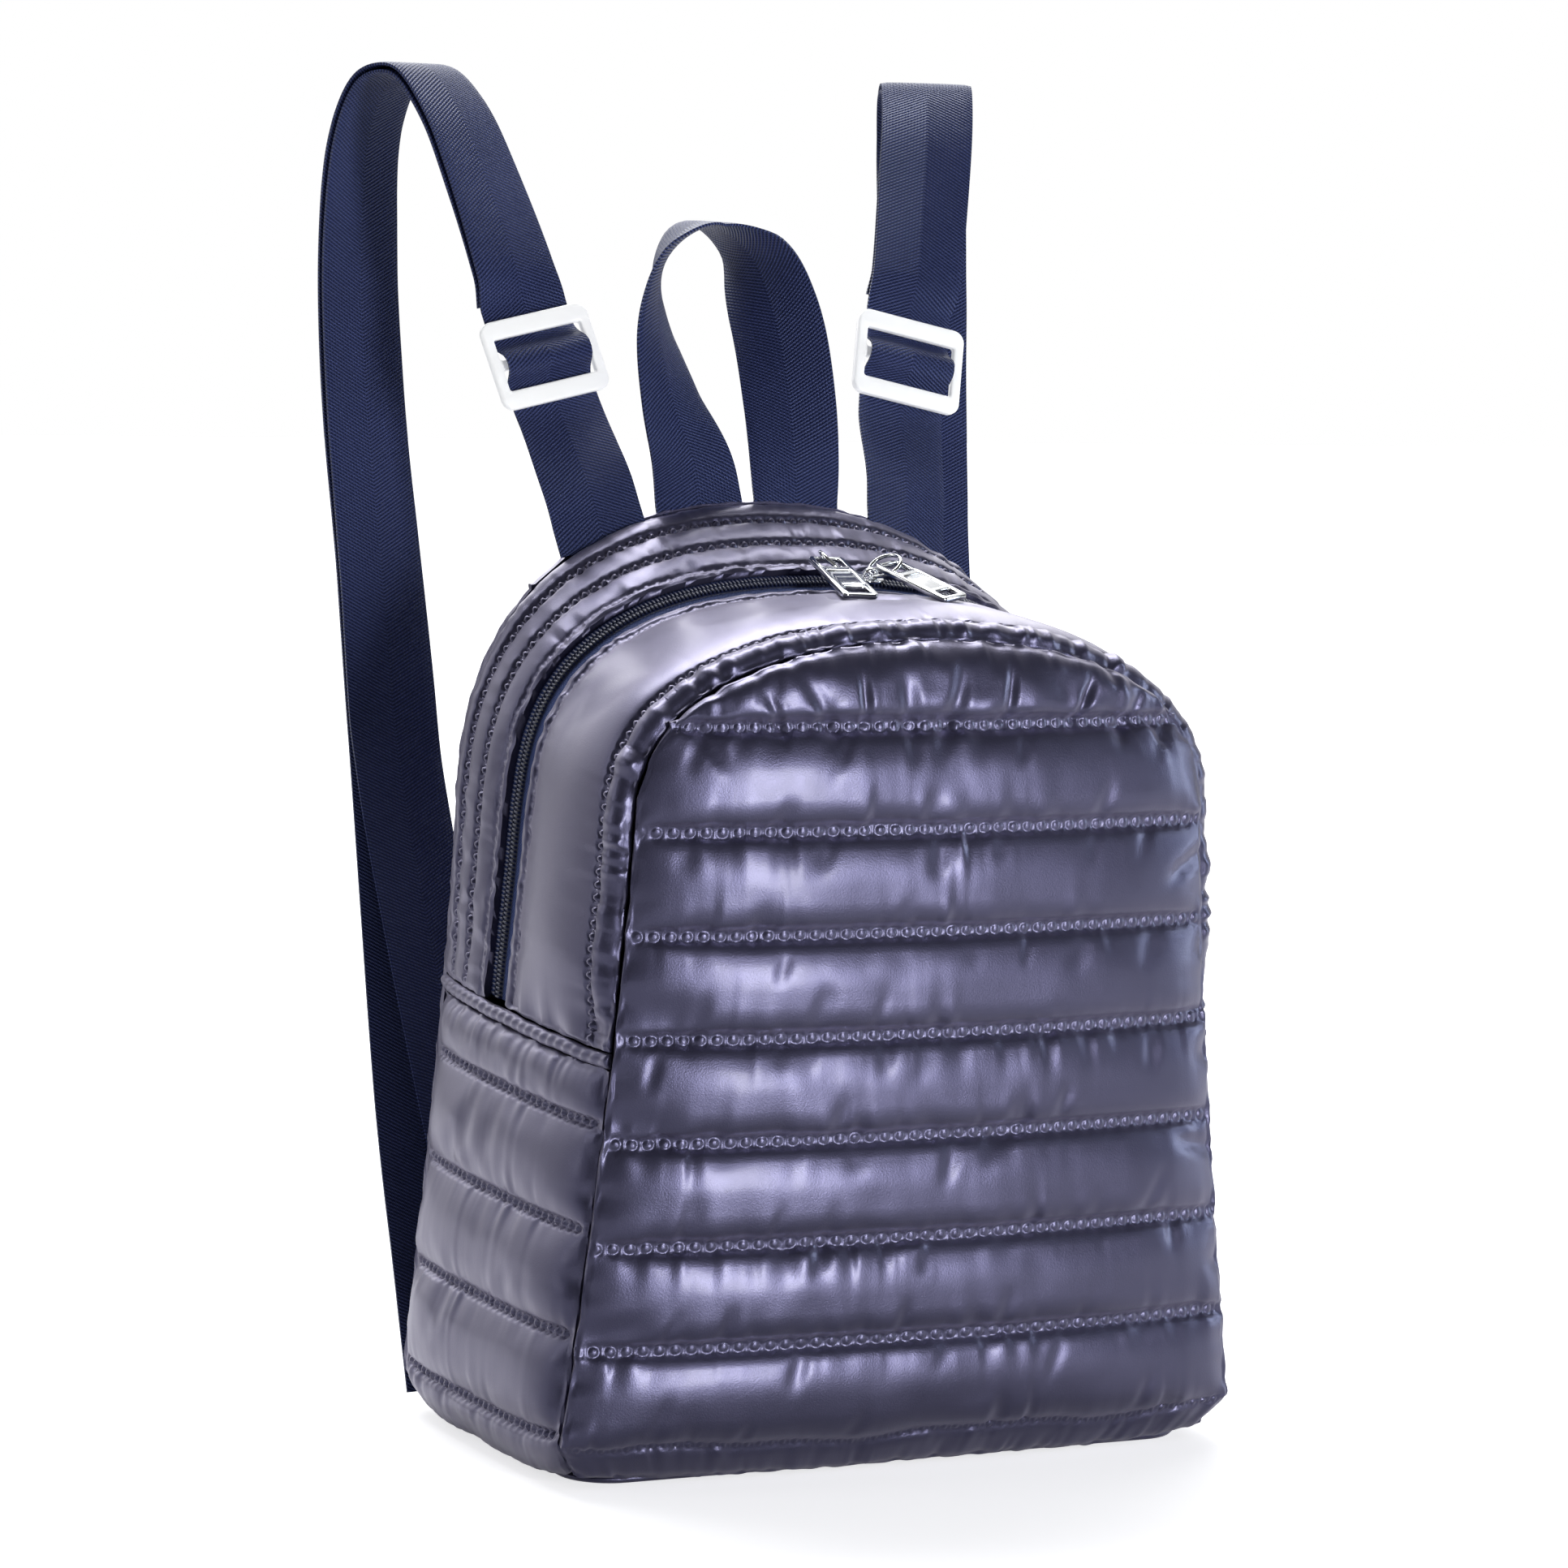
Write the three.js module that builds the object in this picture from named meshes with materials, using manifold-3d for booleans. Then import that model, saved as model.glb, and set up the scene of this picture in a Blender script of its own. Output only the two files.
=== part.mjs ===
// Quilted mini backpack, standing on its base with both shoulder straps up.
// Millimetres, +Z up, the front faces -Y, the origin is the centre of the base.
import * as THREE from 'three';
import Module from 'manifold-3d';

// Bag body
const DEPTH = 130;
const FRONT_HEIGHT = 271;
const FRONT_SHOULDER_HEIGHT = 210;
const FRONT_SHOULDER_HALF = 104;
const FRONT_BASE_HALF = 125.5;
const BACK_HEIGHT = 307;
const BACK_SHOULDER_HEIGHT = 200;
const BACK_SHOULDER_HALF = 109;
const BACK_BASE_HALF = 124;
const FLARE_POWER = 1.3;
const ARCH_POWER_X = 0.909;
const ARCH_POWER_Z = 0.8;
const TUCK_HEIGHT = 12;
const TUCK_DEPTH = 4;

// Padded cloth
const QUILT_PITCH = 33;
const LOWEST_LINE = 12.5;
const QUILT_LINES = 8;
const CHANNEL_RISE = 6;
const SIDE_CHANNEL_RISE = 4.5;
const BACK_CHANNEL_RISE = 3;
const CLOTH_THICKNESS = 2.2;
const FRONT_PILLOW = 7;
const SIDE_PILLOW = 4.5;
const BACK_PILLOW = 3;
const SEAM_CREASE = 0.9;
const GAP = 0.3;

// Base
const BASE_THICKNESS = 3;
const BASE_CORNER = 16;

// Side seam binding
const BINDING_HEIGHT = 137.5;
const BINDING_RISE = 8;
const BINDING_WIDTH = 5;
const BINDING_THICKNESS = 4;
const SIDE_PITCH = 33.4;
const SIDE_LOWEST_LINE = 16.8;

// Gusset strips and zip, measured from the front seam along the depth
const ROLL_WIDTH = 12;
const FRONT_STRIP_END = 77;
const ZIP_GAP = 11;
const BACK_ROW_SPACING = 13;
const STRIP_RISE = 3.2;
const ROLL_RISE = 2.4;
const TAPE_THICKNESS = 0.9;
const TAPE_LAP = 6;
const CHAIN_WIDTH = 6;
const CHAIN_THICKNESS = 2.8;

// Zip sliders, rings and pull tabs
const SLIDER_SPACING = 10.6;
const SLIDER_SHIFT = 15;
const SLIDER_LENGTH = 10;
const SLIDER_WIDTH = 8.4;
const SLIDER_PLATE = 1.1;
const CROWN_HEIGHT = 3.6;
const CROWN_WIDTH = 2.6;
const RING_RADIUS = 5.6;
const RING_WIRE = 0.7;
const RING_TILT = 36;
const TAB_LENGTH = 31;
const TAB_WIDTH = 13;
const TAB_THICKNESS = 1.8;
const TAB_WINDOW_LENGTH = 4.4;
const TAB_WINDOW_WIDTH = 8;
const TAB_EYE_LENGTH = 6.6;
const TAB_EYE_WIDTH = 9;
const TAB_END_BAR = 1.6;
const TAB_CLEARANCE = 0.5;

// Webbing
const WEBBING_WIDTH = 32;
const WEBBING_THICKNESS = 1.6;
const LAYER_SPACING = 2.4;

// Strap sliders
const GLIDE_HEIGHT = 31;
const GLIDE_WIDTH = 41;
const GLIDE_BAR = 6.4;
const GLIDE_SIDE_BAR = 3.6;
const GLIDE_MIDDLE_BAR = 3.6;
const GLIDE_THICKNESS = 3;

const MATERIALS = {
  quilted_nylon: { color: 0x5a587d, roughness: 0.38, metalness: 0.35 },
  zip_tape: { color: 0x37446e, roughness: 0.85, metalness: 0 },
  zip_teeth: { color: 0x20284a, roughness: 0.5, metalness: 0 },
  polished_metal: { color: 0xd4d5d8, roughness: 0.16, metalness: 1 },
  webbing: { color: 0x262b50, roughness: 0.75, metalness: 0 },
  white_plastic: { color: 0xf4f4f6, roughness: 0.3, metalness: 0 },
};

const group = new THREE.Group();
group.name = 'quilted_mini_backpack';

function addPart(name, slot, geometry) {
  const material = new THREE.MeshStandardMaterial(MATERIALS[slot]);
  material.name = slot;
  const mesh = new THREE.Mesh(geometry, material);
  mesh.name = name;
  group.add(mesh);
}

// Small helpers
const clamp = (v, lo, hi) => Math.min(hi, Math.max(lo, v));
const mix = (a, b, t) => a + (b - a) * t;
const smooth = (a, b, v) => {
  const t = clamp((v - a) / (b - a), 0, 1);
  return t * t * (3 - 2 * t);
};
const vec = (x, y, z) => new THREE.Vector3(x, y, z);
const steps = (count) => Array.from({ length: count + 1 }, (_, i) => i / count);

// Joined triangles from a list of corner loops; equal points are shared, flat ones dropped.
function solidFromQuads(quads) {
  const ids = new Map();
  const points = [];
  const index = [];
  const idOf = (p) => {
    const key = `${Math.round(p.x * 1e4)},${Math.round(p.y * 1e4)},${Math.round(p.z * 1e4)}`;
    if (!ids.has(key)) {
      ids.set(key, points.length);
      points.push(p);
    }
    return ids.get(key);
  };
  const face = (a, b, c) => {
    if (a !== b && b !== c && c !== a) {
      index.push(a, b, c);
    }
  };
  for (const quad of quads) {
    const [a, b, c, d] = quad.map(idOf);
    face(a, b, c);
    if (quad.length === 4) {
      face(a, c, d);
    }
  }
  let volume = 0;
  for (let i = 0; i < index.length; i += 3) {
    const [a, b, c] = [points[index[i]], points[index[i + 1]], points[index[i + 2]]];
    volume += a.dot(b.clone().cross(c));
  }
  if (volume < 0) {
    for (let i = 0; i < index.length; i += 3) {
      [index[i], index[i + 1]] = [index[i + 1], index[i]];
    }
  }
  const geometry = new THREE.BufferGeometry();
  const flat = points.flatMap((p) => [p.x, p.y, p.z]);
  geometry.setAttribute('position', new THREE.Float32BufferAttribute(flat, 3));
  geometry.setIndex(index);
  geometry.computeVertexNormals();
  return geometry;
}

// A closed wall between an outer and an inner grid of points of the same size.
function wallFromGrids(outer, inner) {
  const quads = [];
  const rows = outer.length;
  const cols = outer[0].length;
  for (let i = 0; i + 1 < rows; i += 1) {
    for (let j = 0; j + 1 < cols; j += 1) {
      quads.push([outer[i][j], outer[i][j + 1], outer[i + 1][j + 1], outer[i + 1][j]]);
      quads.push([inner[i + 1][j], inner[i + 1][j + 1], inner[i][j + 1], inner[i][j]]);
    }
  }
  for (let i = 0; i + 1 < rows; i += 1) {
    quads.push([inner[i][0], outer[i][0], outer[i + 1][0], inner[i + 1][0]]);
    quads.push([outer[i][cols - 1], inner[i][cols - 1], inner[i + 1][cols - 1], outer[i + 1][cols - 1]]);
  }
  for (let j = 0; j + 1 < cols; j += 1) {
    quads.push([outer[0][j], inner[0][j], inner[0][j + 1], outer[0][j + 1]]);
    quads.push([inner[rows - 1][j], outer[rows - 1][j], outer[rows - 1][j + 1], inner[rows - 1][j + 1]]);
  }
  return solidFromQuads(quads);
}

// A solid through a row of closed loops of points, capped at both ends. The face `turned` is
// split along its other diagonal, so that both faces of a twisted band stay parallel.
function solidFromLoops(loops, turned = -1) {
  const quads = [];
  const n = loops[0].length;
  for (let i = 0; i + 1 < loops.length; i += 1) {
    for (let j = 0; j < n; j += 1) {
      const k = (j + 1) % n;
      if (j === turned) {
        quads.push([loops[i][k], loops[i + 1][k], loops[i + 1][j], loops[i][j]]);
      } else {
        quads.push([loops[i][j], loops[i][k], loops[i + 1][k], loops[i + 1][j]]);
      }
    }
  }
  const last = loops[loops.length - 1];
  for (let j = 1; j + 1 < n; j += 1) {
    quads.push([loops[0][0], loops[0][j + 1], loops[0][j]]);
    quads.push([last[0], last[j], last[j + 1]]);
  }
  return solidFromQuads(quads);
}

// Half width of the seam outline at a height, for the front and the back of the bag
const FRONT = {
  top: FRONT_HEIGHT,
  shoulder: FRONT_SHOULDER_HEIGHT,
  shoulderHalf: FRONT_SHOULDER_HALF,
  baseHalf: FRONT_BASE_HALF,
};
const BACK = {
  top: BACK_HEIGHT,
  shoulder: BACK_SHOULDER_HEIGHT,
  shoulderHalf: BACK_SHOULDER_HALF,
  baseHalf: BACK_BASE_HALF,
};

function tuckAt(z) {
  const t = clamp(1 - z / TUCK_HEIGHT, 0, 1);
  return TUCK_DEPTH * t * t;
}

function halfWidth(form, z) {
  if (z <= form.shoulder) {
    const flare = Math.pow(1 - z / form.shoulder, FLARE_POWER);
    return form.shoulderHalf + (form.baseHalf - form.shoulderHalf) * flare - tuckAt(z);
  }
  const share = clamp((z - form.shoulder) / (form.top - form.shoulder), 0, 1);
  const angle = Math.asin(Math.pow(share, 1 / ARCH_POWER_Z));
  return form.shoulderHalf * Math.pow(Math.cos(angle), ARCH_POWER_X);
}

// The outline from a height up to the top point, as a function of its share of the length
function outlineFrom(form, z0) {
  const line = [];
  for (const t of steps(60)) {
    const z = mix(z0, form.shoulder, t);
    line.push([halfWidth(form, z), z]);
  }
  for (const t of steps(160).slice(1)) {
    const a = (t * Math.PI) / 2;
    const x = form.shoulderHalf * Math.pow(Math.max(Math.cos(a), 0), ARCH_POWER_X);
    const z = form.shoulder + (form.top - form.shoulder) * Math.pow(Math.sin(a), ARCH_POWER_Z);
    line.push([t === 1 ? 0 : x, z]);
  }
  const length = [0];
  for (let i = 1; i < line.length; i += 1) {
    length.push(length[i - 1] + Math.hypot(line[i][0] - line[i - 1][0], line[i][1] - line[i - 1][1]));
  }
  const total = length[length.length - 1];
  return (share) => {
    const target = clamp(share, 0, 1) * total;
    let i = 1;
    while (i < length.length - 1 && length[i] < target) {
      i += 1;
    }
    const t = (target - length[i - 1]) / (length[i] - length[i - 1]);
    return [mix(line[i - 1][0], line[i][0], t), mix(line[i - 1][1], line[i][1], t)];
  };
}

// Height of a rounded channel between two weld lines
function channel(t) {
  return Math.pow(clamp(1 - Math.pow(2 * t - 1, 2), 0, 1), 0.62);
}

// Rows of a quilted panel: [height, share of the channel rise] from the bottom to the last line
const CHANNEL_STEPS = [0, 0.14, 0.5, 0.86];
function quiltRows(bottom, lines, shares) {
  const rows = [[bottom, 0]];
  for (let i = 0; i + 1 < lines.length; i += 1) {
    for (const t of shares) {
      rows.push([mix(lines[i], lines[i + 1], t), channel(t)]);
    }
  }
  rows.push([lines[lines.length - 1], 0]);
  return rows;
}

// Columns crowd towards the side seams, where the padding turns in
const acrossAt = (u) => 0.45 * u + 0.55 * Math.sin((u * Math.PI) / 2);

// A front or back panel: quilted rows below the last line and one arched channel above it
function facePanel({ form, y, sign, lines, shares, rise, pillow, columns, topRows }) {
  const bottom = BASE_THICKNESS + GAP;
  const topLine = lines[lines.length - 1];
  const rows = quiltRows(bottom, lines, shares);
  const us = steps(columns).map((t) => 2 * t - 1);
  const outer = [];
  const inner = [];
  const push = (points) => {
    outer.push(points.map((p) => p.out));
    inner.push(points.map((p) => p.in));
  };
  const swell = (u, z) => {
    const across = 1 - Math.pow(Math.abs(u), 3);
    const up = 1 - Math.pow(Math.abs((2 * z) / form.top - 1), 6);
    return pillow * across * up;
  };
  const pointAt = (u, x, z, share) => {
    const base = y - sign * tuckAt(z);
    const edge = 1 - Math.pow(Math.abs(u), 10);
    const lift = swell(u, z) + rise * share * edge;
    const back = swell(u, z) + 0.25 * rise * share * edge;
    return {
      out: vec(x, base + sign * lift, z),
      in: vec(x, base + sign * (back - CLOTH_THICKNESS), z),
    };
  };
  for (const [z, share] of rows) {
    const half = halfWidth(form, z) - SEAM_CREASE;
    push(us.map((u) => pointAt(u, acrossAt(u) * half, z, share)));
  }
  const half = halfWidth(form, topLine) - SEAM_CREASE;
  const topOf = (x) => {
    const t = Math.pow(clamp(Math.abs(x) / form.shoulderHalf, 0, 1), 1 / ARCH_POWER_X);
    const z = Math.pow(Math.sqrt(1 - t * t), ARCH_POWER_Z);
    return form.shoulder + (form.top - form.shoulder) * z - SEAM_CREASE;
  };
  for (let k = 1; k <= topRows; k += 1) {
    const t = k / topRows;
    push(us.map((u) => {
      const x = acrossAt(u) * half;
      const z = mix(topLine, Math.max(topOf(x), topLine), Math.abs(u) === 1 ? 0 : t);
      return pointAt(u, x, z, t === 1 ? 0 : 0.8 * channel(t));
    }));
  }
  return wallFromGrids(outer, inner);
}

const quiltLines = Array.from({ length: QUILT_LINES }, (_, i) => LOWEST_LINE + i * QUILT_PITCH);

addPart('front_panel', 'quilted_nylon', facePanel({
  form: FRONT,
  y: -DEPTH / 2,
  sign: -1,
  lines: quiltLines,
  shares: CHANNEL_STEPS,
  rise: CHANNEL_RISE,
  pillow: FRONT_PILLOW,
  columns: 14,
  topRows: 3,
}));

addPart('back_panel', 'quilted_nylon', facePanel({
  form: BACK,
  y: DEPTH / 2,
  sign: 1,
  lines: [...quiltLines, LOWEST_LINE + QUILT_LINES * QUILT_PITCH],
  shares: [0, 0.5],
  rise: BACK_CHANNEL_RISE,
  pillow: BACK_PILLOW,
  columns: 10,
  topRows: 2,
}));

// The skin of the side and gusset between the two seam outlines
const FRONT_EDGE = -DEPTH / 2 + CLOTH_THICKNESS + GAP;
const BACK_EDGE = DEPTH / 2 - CLOTH_THICKNESS - GAP;

// Side panel under the binding
function sidePanel(side) {
  const lines = Array.from({ length: 4 }, (_, i) => SIDE_LOWEST_LINE + i * SIDE_PITCH);
  const top = BINDING_HEIGHT - BINDING_WIDTH / 2 - GAP;
  const rows = quiltRows(BASE_THICKNESS + GAP, lines, [0, 0.16, 0.5, 0.84]);
  rows.push([mix(lines[3], top, 0.5), 0.7]);
  rows.push([top, 0]);
  const outer = [];
  const inner = [];
  for (const [z, share] of rows) {
    const outRow = [];
    const inRow = [];
    for (const t of [0, 0.06, 0.2, 0.4, 0.6, 0.8, 0.94, 1]) {
      const zt = z + (BINDING_RISE * t * (z - BASE_THICKNESS - GAP)) / BINDING_HEIGHT;
      const y = mix(FRONT_EDGE + tuckAt(z), BACK_EDGE - tuckAt(zt), t);
      const half = mix(halfWidth(FRONT, z), halfWidth(BACK, zt), t) - SEAM_CREASE;
      const edge = 1 - Math.pow(Math.abs(2 * t - 1), 6);
      const up = Math.min(1, z / 40);
      const swell = SIDE_PILLOW * (1 - Math.pow(Math.abs(2 * t - 1), 3)) * up;
      const lift = swell + SIDE_CHANNEL_RISE * share * edge;
      const back = swell + 0.25 * SIDE_CHANNEL_RISE * share * edge;
      outRow.push(vec(side * (half + lift), y, zt));
      inRow.push(vec(side * (half + back - CLOTH_THICKNESS), y, zt));
    }
    outer.push(outRow);
    inner.push(inRow);
  }
  return wallFromGrids(outer, inner);
}

addPart('side_panel_left', 'quilted_nylon', sidePanel(-1));
addPart('side_panel_right', 'quilted_nylon', sidePanel(1));

// Folded binding over the seam between side panel and gusset
function sideBinding(side) {
  const loops = [];
  for (const t of steps(12)) {
    const y = mix(FRONT_EDGE, BACK_EDGE, t);
    const z = BINDING_HEIGHT + BINDING_RISE * t;
    const swell = SIDE_PILLOW * (1 - Math.pow(Math.abs(2 * t - 1), 3));
    const half = mix(halfWidth(FRONT, BINDING_HEIGHT), halfWidth(BACK, z), t) - SEAM_CREASE + swell;
    const h = BINDING_WIDTH / 2;
    const bump = BINDING_THICKNESS - CLOTH_THICKNESS;
    loops.push([
      vec(side * (half - CLOTH_THICKNESS), y, z - h),
      vec(side * (half + bump * 0.5), y, z - h),
      vec(side * (half + bump), y, z),
      vec(side * (half + bump * 0.5), y, z + h),
      vec(side * (half - CLOTH_THICKNESS), y, z + h),
    ]);
  }
  return solidFromLoops(loops);
}

addPart('side_binding_left', 'quilted_nylon', sideBinding(-1));
addPart('side_binding_right', 'quilted_nylon', sideBinding(1));

// Gusset skin: u runs from the left binding (-1) over the top (0) to the right one (1),
// d is the distance from the front seam
const GUSSET_START = BINDING_WIDTH / 2 + 2 * GAP;
const frontArch = outlineFrom(FRONT, BINDING_HEIGHT + GUSSET_START);
const backArch = outlineFrom(BACK, BINDING_HEIGHT + BINDING_RISE + GUSSET_START);

function gussetBase(u, d) {
  const share = 1 - Math.abs(u);
  const side = u < 0 ? -1 : 1;
  const t = d / DEPTH;
  const g = Math.pow(t, 1 + 1.1 * smooth(0.25, 1, share));
  const [fx, fz] = frontArch(share);
  const [bx, bz] = backArch(share);
  const swell = SIDE_PILLOW * (1 - smooth(0, 0.7, share)) * (1 - Math.pow(Math.abs(2 * t - 1), 3));
  return vec(side * (mix(fx, bx, g) + swell), -DEPTH / 2 + d, mix(fz, bz, g));
}

function gussetFrame(u, d) {
  const e = 1e-3;
  const p = gussetBase(u, d);
  const along = gussetBase(u + e, d).sub(gussetBase(u - e, d)).normalize();
  const deep = gussetBase(u, d + 0.5).sub(gussetBase(u, d - 0.5)).normalize();
  const out = deep.clone().cross(along).normalize();
  if (out.z * Math.abs(p.x) + out.x * Math.sign(p.x) * 60 < 0 || (Math.abs(u) < 0.3 && out.z < 0)) {
    out.negate();
  }
  return { p, along, deep, out };
}

const gussetPoint = (u, d, lift) => {
  const { p, out } = gussetFrame(u, d);
  return p.addScaledVector(out, lift);
};

// Strip of the gusset: stations are [distance from the front seam, lift of the cloth]
function gussetStrip(stations, segments) {
  const outer = [];
  const inner = [];
  for (const [d, lift] of stations) {
    const us = steps(segments).map((t) => 2 * t - 1);
    const within = (p) => vec(p.x, clamp(p.y, FRONT_EDGE, BACK_EDGE), p.z);
    outer.push(us.map((u) => within(gussetPoint(u, d, lift - SEAM_CREASE))));
    inner.push(us.map((u) => within(gussetPoint(u, d, 0.3 * lift - SEAM_CREASE - CLOTH_THICKNESS))));
  }
  return wallFromGrids(outer, inner);
}

const EDGE = CLOTH_THICKNESS + GAP;
const BACK_STRIP_START = FRONT_STRIP_END + ZIP_GAP;
const frontStations = [
  [EDGE, 0.6],
  [ROLL_WIDTH * 0.5, ROLL_RISE],
  [ROLL_WIDTH, 0.2],
  [ROLL_WIDTH + 7, STRIP_RISE * 0.8],
  [mix(ROLL_WIDTH, FRONT_STRIP_END, 0.5), STRIP_RISE],
  [FRONT_STRIP_END - 8, STRIP_RISE * 0.6],
  [FRONT_STRIP_END, 0.4],
];
const outerRow = DEPTH - BACK_ROW_SPACING;
const innerRow = outerRow - BACK_ROW_SPACING;
const backStations = [
  [BACK_STRIP_START, 0.4],
  [mix(BACK_STRIP_START, innerRow, 0.5), ROLL_RISE],
  [innerRow, 0.2],
  [mix(innerRow, outerRow, 0.5), ROLL_RISE],
  [outerRow, 0.2],
  [mix(outerRow, DEPTH, 0.5), ROLL_RISE],
  [DEPTH - EDGE, 0.6],
];

addPart('gusset_front_strip', 'quilted_nylon', gussetStrip(frontStations, 36));
addPart('gusset_back_strip', 'quilted_nylon', gussetStrip(backStations, 36));

// Zip tapes lie under the strip edges, the chain runs between them
const ZIP_CENTRE = FRONT_STRIP_END + ZIP_GAP / 2;
const TAPE_TOP = -SEAM_CREASE - CLOTH_THICKNESS - GAP;
const zipEnd = 0.995;

function zipBand(d0, d1, top, thickness, u0, u1, segments) {
  const loops = steps(segments).map((t) => {
    const u = mix(u0, u1, t);
    return [
      gussetPoint(u, d0, top - thickness),
      gussetPoint(u, d1, top - thickness),
      gussetPoint(u, d1, top),
      gussetPoint(u, d0, top),
    ];
  });
  return solidFromLoops(loops);
}

const tapeInner = CHAIN_WIDTH / 2 + GAP;
addPart('zip_tape_front', 'zip_tape', zipBand(
  FRONT_STRIP_END - TAPE_LAP,
  ZIP_CENTRE - tapeInner,
  TAPE_TOP,
  TAPE_THICKNESS,
  -zipEnd,
  zipEnd,
  36,
));
addPart('zip_tape_back', 'zip_tape', zipBand(
  ZIP_CENTRE + tapeInner,
  BACK_STRIP_START + TAPE_LAP,
  TAPE_TOP,
  TAPE_THICKNESS,
  -zipEnd,
  zipEnd,
  36,
));

// The gusset length per unit of u at the zip gives the sliders their place
const zipScale = gussetBase(0.01, ZIP_CENTRE).distanceTo(gussetBase(-0.01, ZIP_CENTRE)) / 0.02;
const CHAIN_TOP = TAPE_TOP + 1.2;
const CHAIN_BOTTOM = CHAIN_TOP - CHAIN_THICKNESS;
const sliderAt = (side) => (SLIDER_SHIFT + (side * SLIDER_SPACING) / 2) / zipScale;

for (const [name, side] of [['left', -1], ['right', 1]]) {
  const near = sliderAt(side) + (side * SLIDER_LENGTH * 0.06) / zipScale;
  addPart(`zip_chain_${name}`, 'zip_teeth', zipBand(
    ZIP_CENTRE - CHAIN_WIDTH / 2,
    ZIP_CENTRE + CHAIN_WIDTH / 2,
    CHAIN_TOP,
    CHAIN_THICKNESS,
    side * zipEnd,
    near,
    20,
  ));
}

// Booleans
const wasm = await Module();
wasm.setup();

function toManifold(geometry) {
  const position = geometry.getAttribute('position');
  const merged = new Map();
  const points = [];
  const remap = [];
  for (let i = 0; i < position.count; i += 1) {
    const p = [position.getX(i), position.getY(i), position.getZ(i)];
    const key = p.map((v) => Math.round(v * 1e4)).join(',');
    if (!merged.has(key)) {
      merged.set(key, points.length / 3);
      points.push(...p);
    }
    remap.push(merged.get(key));
  }
  const raw = geometry.index ? Array.from(geometry.index.array) : remap.map((_, i) => i);
  const triVerts = [];
  for (let i = 0; i < raw.length; i += 3) {
    const [a, b, c] = [remap[raw[i]], remap[raw[i + 1]], remap[raw[i + 2]]];
    if (a !== b && b !== c && c !== a) {
      triVerts.push(a, b, c);
    }
  }
  return new wasm.Manifold(new wasm.Mesh({
    numProp: 3,
    vertProperties: new Float32Array(points),
    triVerts: new Uint32Array(triVerts),
  }));
}

function fromManifold(body) {
  const mesh = body.getMesh();
  const geometry = new THREE.BufferGeometry();
  geometry.setAttribute('position', new THREE.BufferAttribute(new Float32Array(mesh.vertProperties), 3));
  geometry.setIndex(new THREE.BufferAttribute(new Uint32Array(mesh.triVerts), 1));
  geometry.computeVertexNormals();
  return geometry;
}

// A block with rounded corners in its flat plane, thickness along z, centred
function roundedPlate(length, width, thickness, radius) {
  const shape = new THREE.Shape();
  const [l, w] = [length / 2, width / 2];
  shape.moveTo(-l + radius, -w);
  shape.lineTo(l - radius, -w);
  shape.quadraticCurveTo(l, -w, l, -w + radius);
  shape.lineTo(l, w - radius);
  shape.quadraticCurveTo(l, w, l - radius, w);
  shape.lineTo(-l + radius, w);
  shape.quadraticCurveTo(-l, w, -l, w - radius);
  shape.lineTo(-l, -w + radius);
  shape.quadraticCurveTo(-l, -w, -l + radius, -w);
  const plate = new THREE.ExtrudeGeometry(shape, { depth: thickness, bevelEnabled: false, curveSegments: 3 });
  plate.translate(0, 0, -thickness / 2);
  return plate;
}

const block = (x, y, z, cx, cy, cz) => {
  const box = new THREE.BoxGeometry(x, y, z);
  box.translate(cx, cy, cz);
  return toManifold(box);
};

// Base panel with rounded corners; the bag rests on its underside
{
  const half = halfWidth(FRONT, 0) - 0.6;
  const base = roundedPlate(2 * half, DEPTH - 6, BASE_THICKNESS, BASE_CORNER);
  base.translate(0, 0, BASE_THICKNESS / 2);
  addPart('base_panel', 'quilted_nylon', fromManifold(toManifold(base)));
}

// Slider body: two plates joined by a post at the open end, with a crown on top for the ring.
// Its own frame: x along the chain towards the open end, y across, z out of the bag.
function sliderBody() {
  const chainTop = GAP;
  const chainBottom = -CHAIN_THICKNESS - GAP;
  const plate = roundedPlate(SLIDER_LENGTH, SLIDER_WIDTH, SLIDER_PLATE, 2);
  const upper = plate.clone();
  upper.translate(0, 0, chainTop + SLIDER_PLATE / 2);
  const lower = plate.clone();
  lower.translate(0, 0, chainBottom - SLIDER_PLATE / 2);
  const post = block(2.2, 2.6, chainTop - chainBottom + 0.4, SLIDER_LENGTH * 0.34, 0, (chainTop + chainBottom) / 2);
  const top = chainTop + SLIDER_PLATE;
  const crown = block(6, CROWN_WIDTH, CROWN_HEIGHT, 0, 0, top + CROWN_HEIGHT / 2 - 0.1);
  const eye = block(3.2, CROWN_WIDTH + 1, CROWN_HEIGHT - 1.1, 0, 0, top + (CROWN_HEIGHT - 1.1) / 2 - 0.05);
  return toManifold(upper).add(toManifold(lower)).add(post).add(crown.subtract(eye));
}

// Pull tab: flat bar with an eye at the ring end and a window near the free end
function pullTab() {
  const bar = toManifold(roundedPlate(TAB_LENGTH, TAB_WIDTH, TAB_THICKNESS, 1.4));
  const eye = block(TAB_EYE_LENGTH, TAB_EYE_WIDTH, 4, -TAB_LENGTH / 2 + TAB_END_BAR + TAB_EYE_LENGTH / 2, 0, 0);
  const window = block(TAB_WINDOW_LENGTH, TAB_WINDOW_WIDTH, 4, TAB_LENGTH / 2 - 2 - TAB_WINDOW_LENGTH / 2, 0, 0);
  return bar.subtract(eye).subtract(window);
}

function place(geometry, origin, x, y, z) {
  const matrix = new THREE.Matrix4().makeBasis(x, y, z);
  matrix.setPosition(origin);
  geometry.applyMatrix4(matrix);
  geometry.computeVertexNormals();
  return geometry;
}

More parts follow.
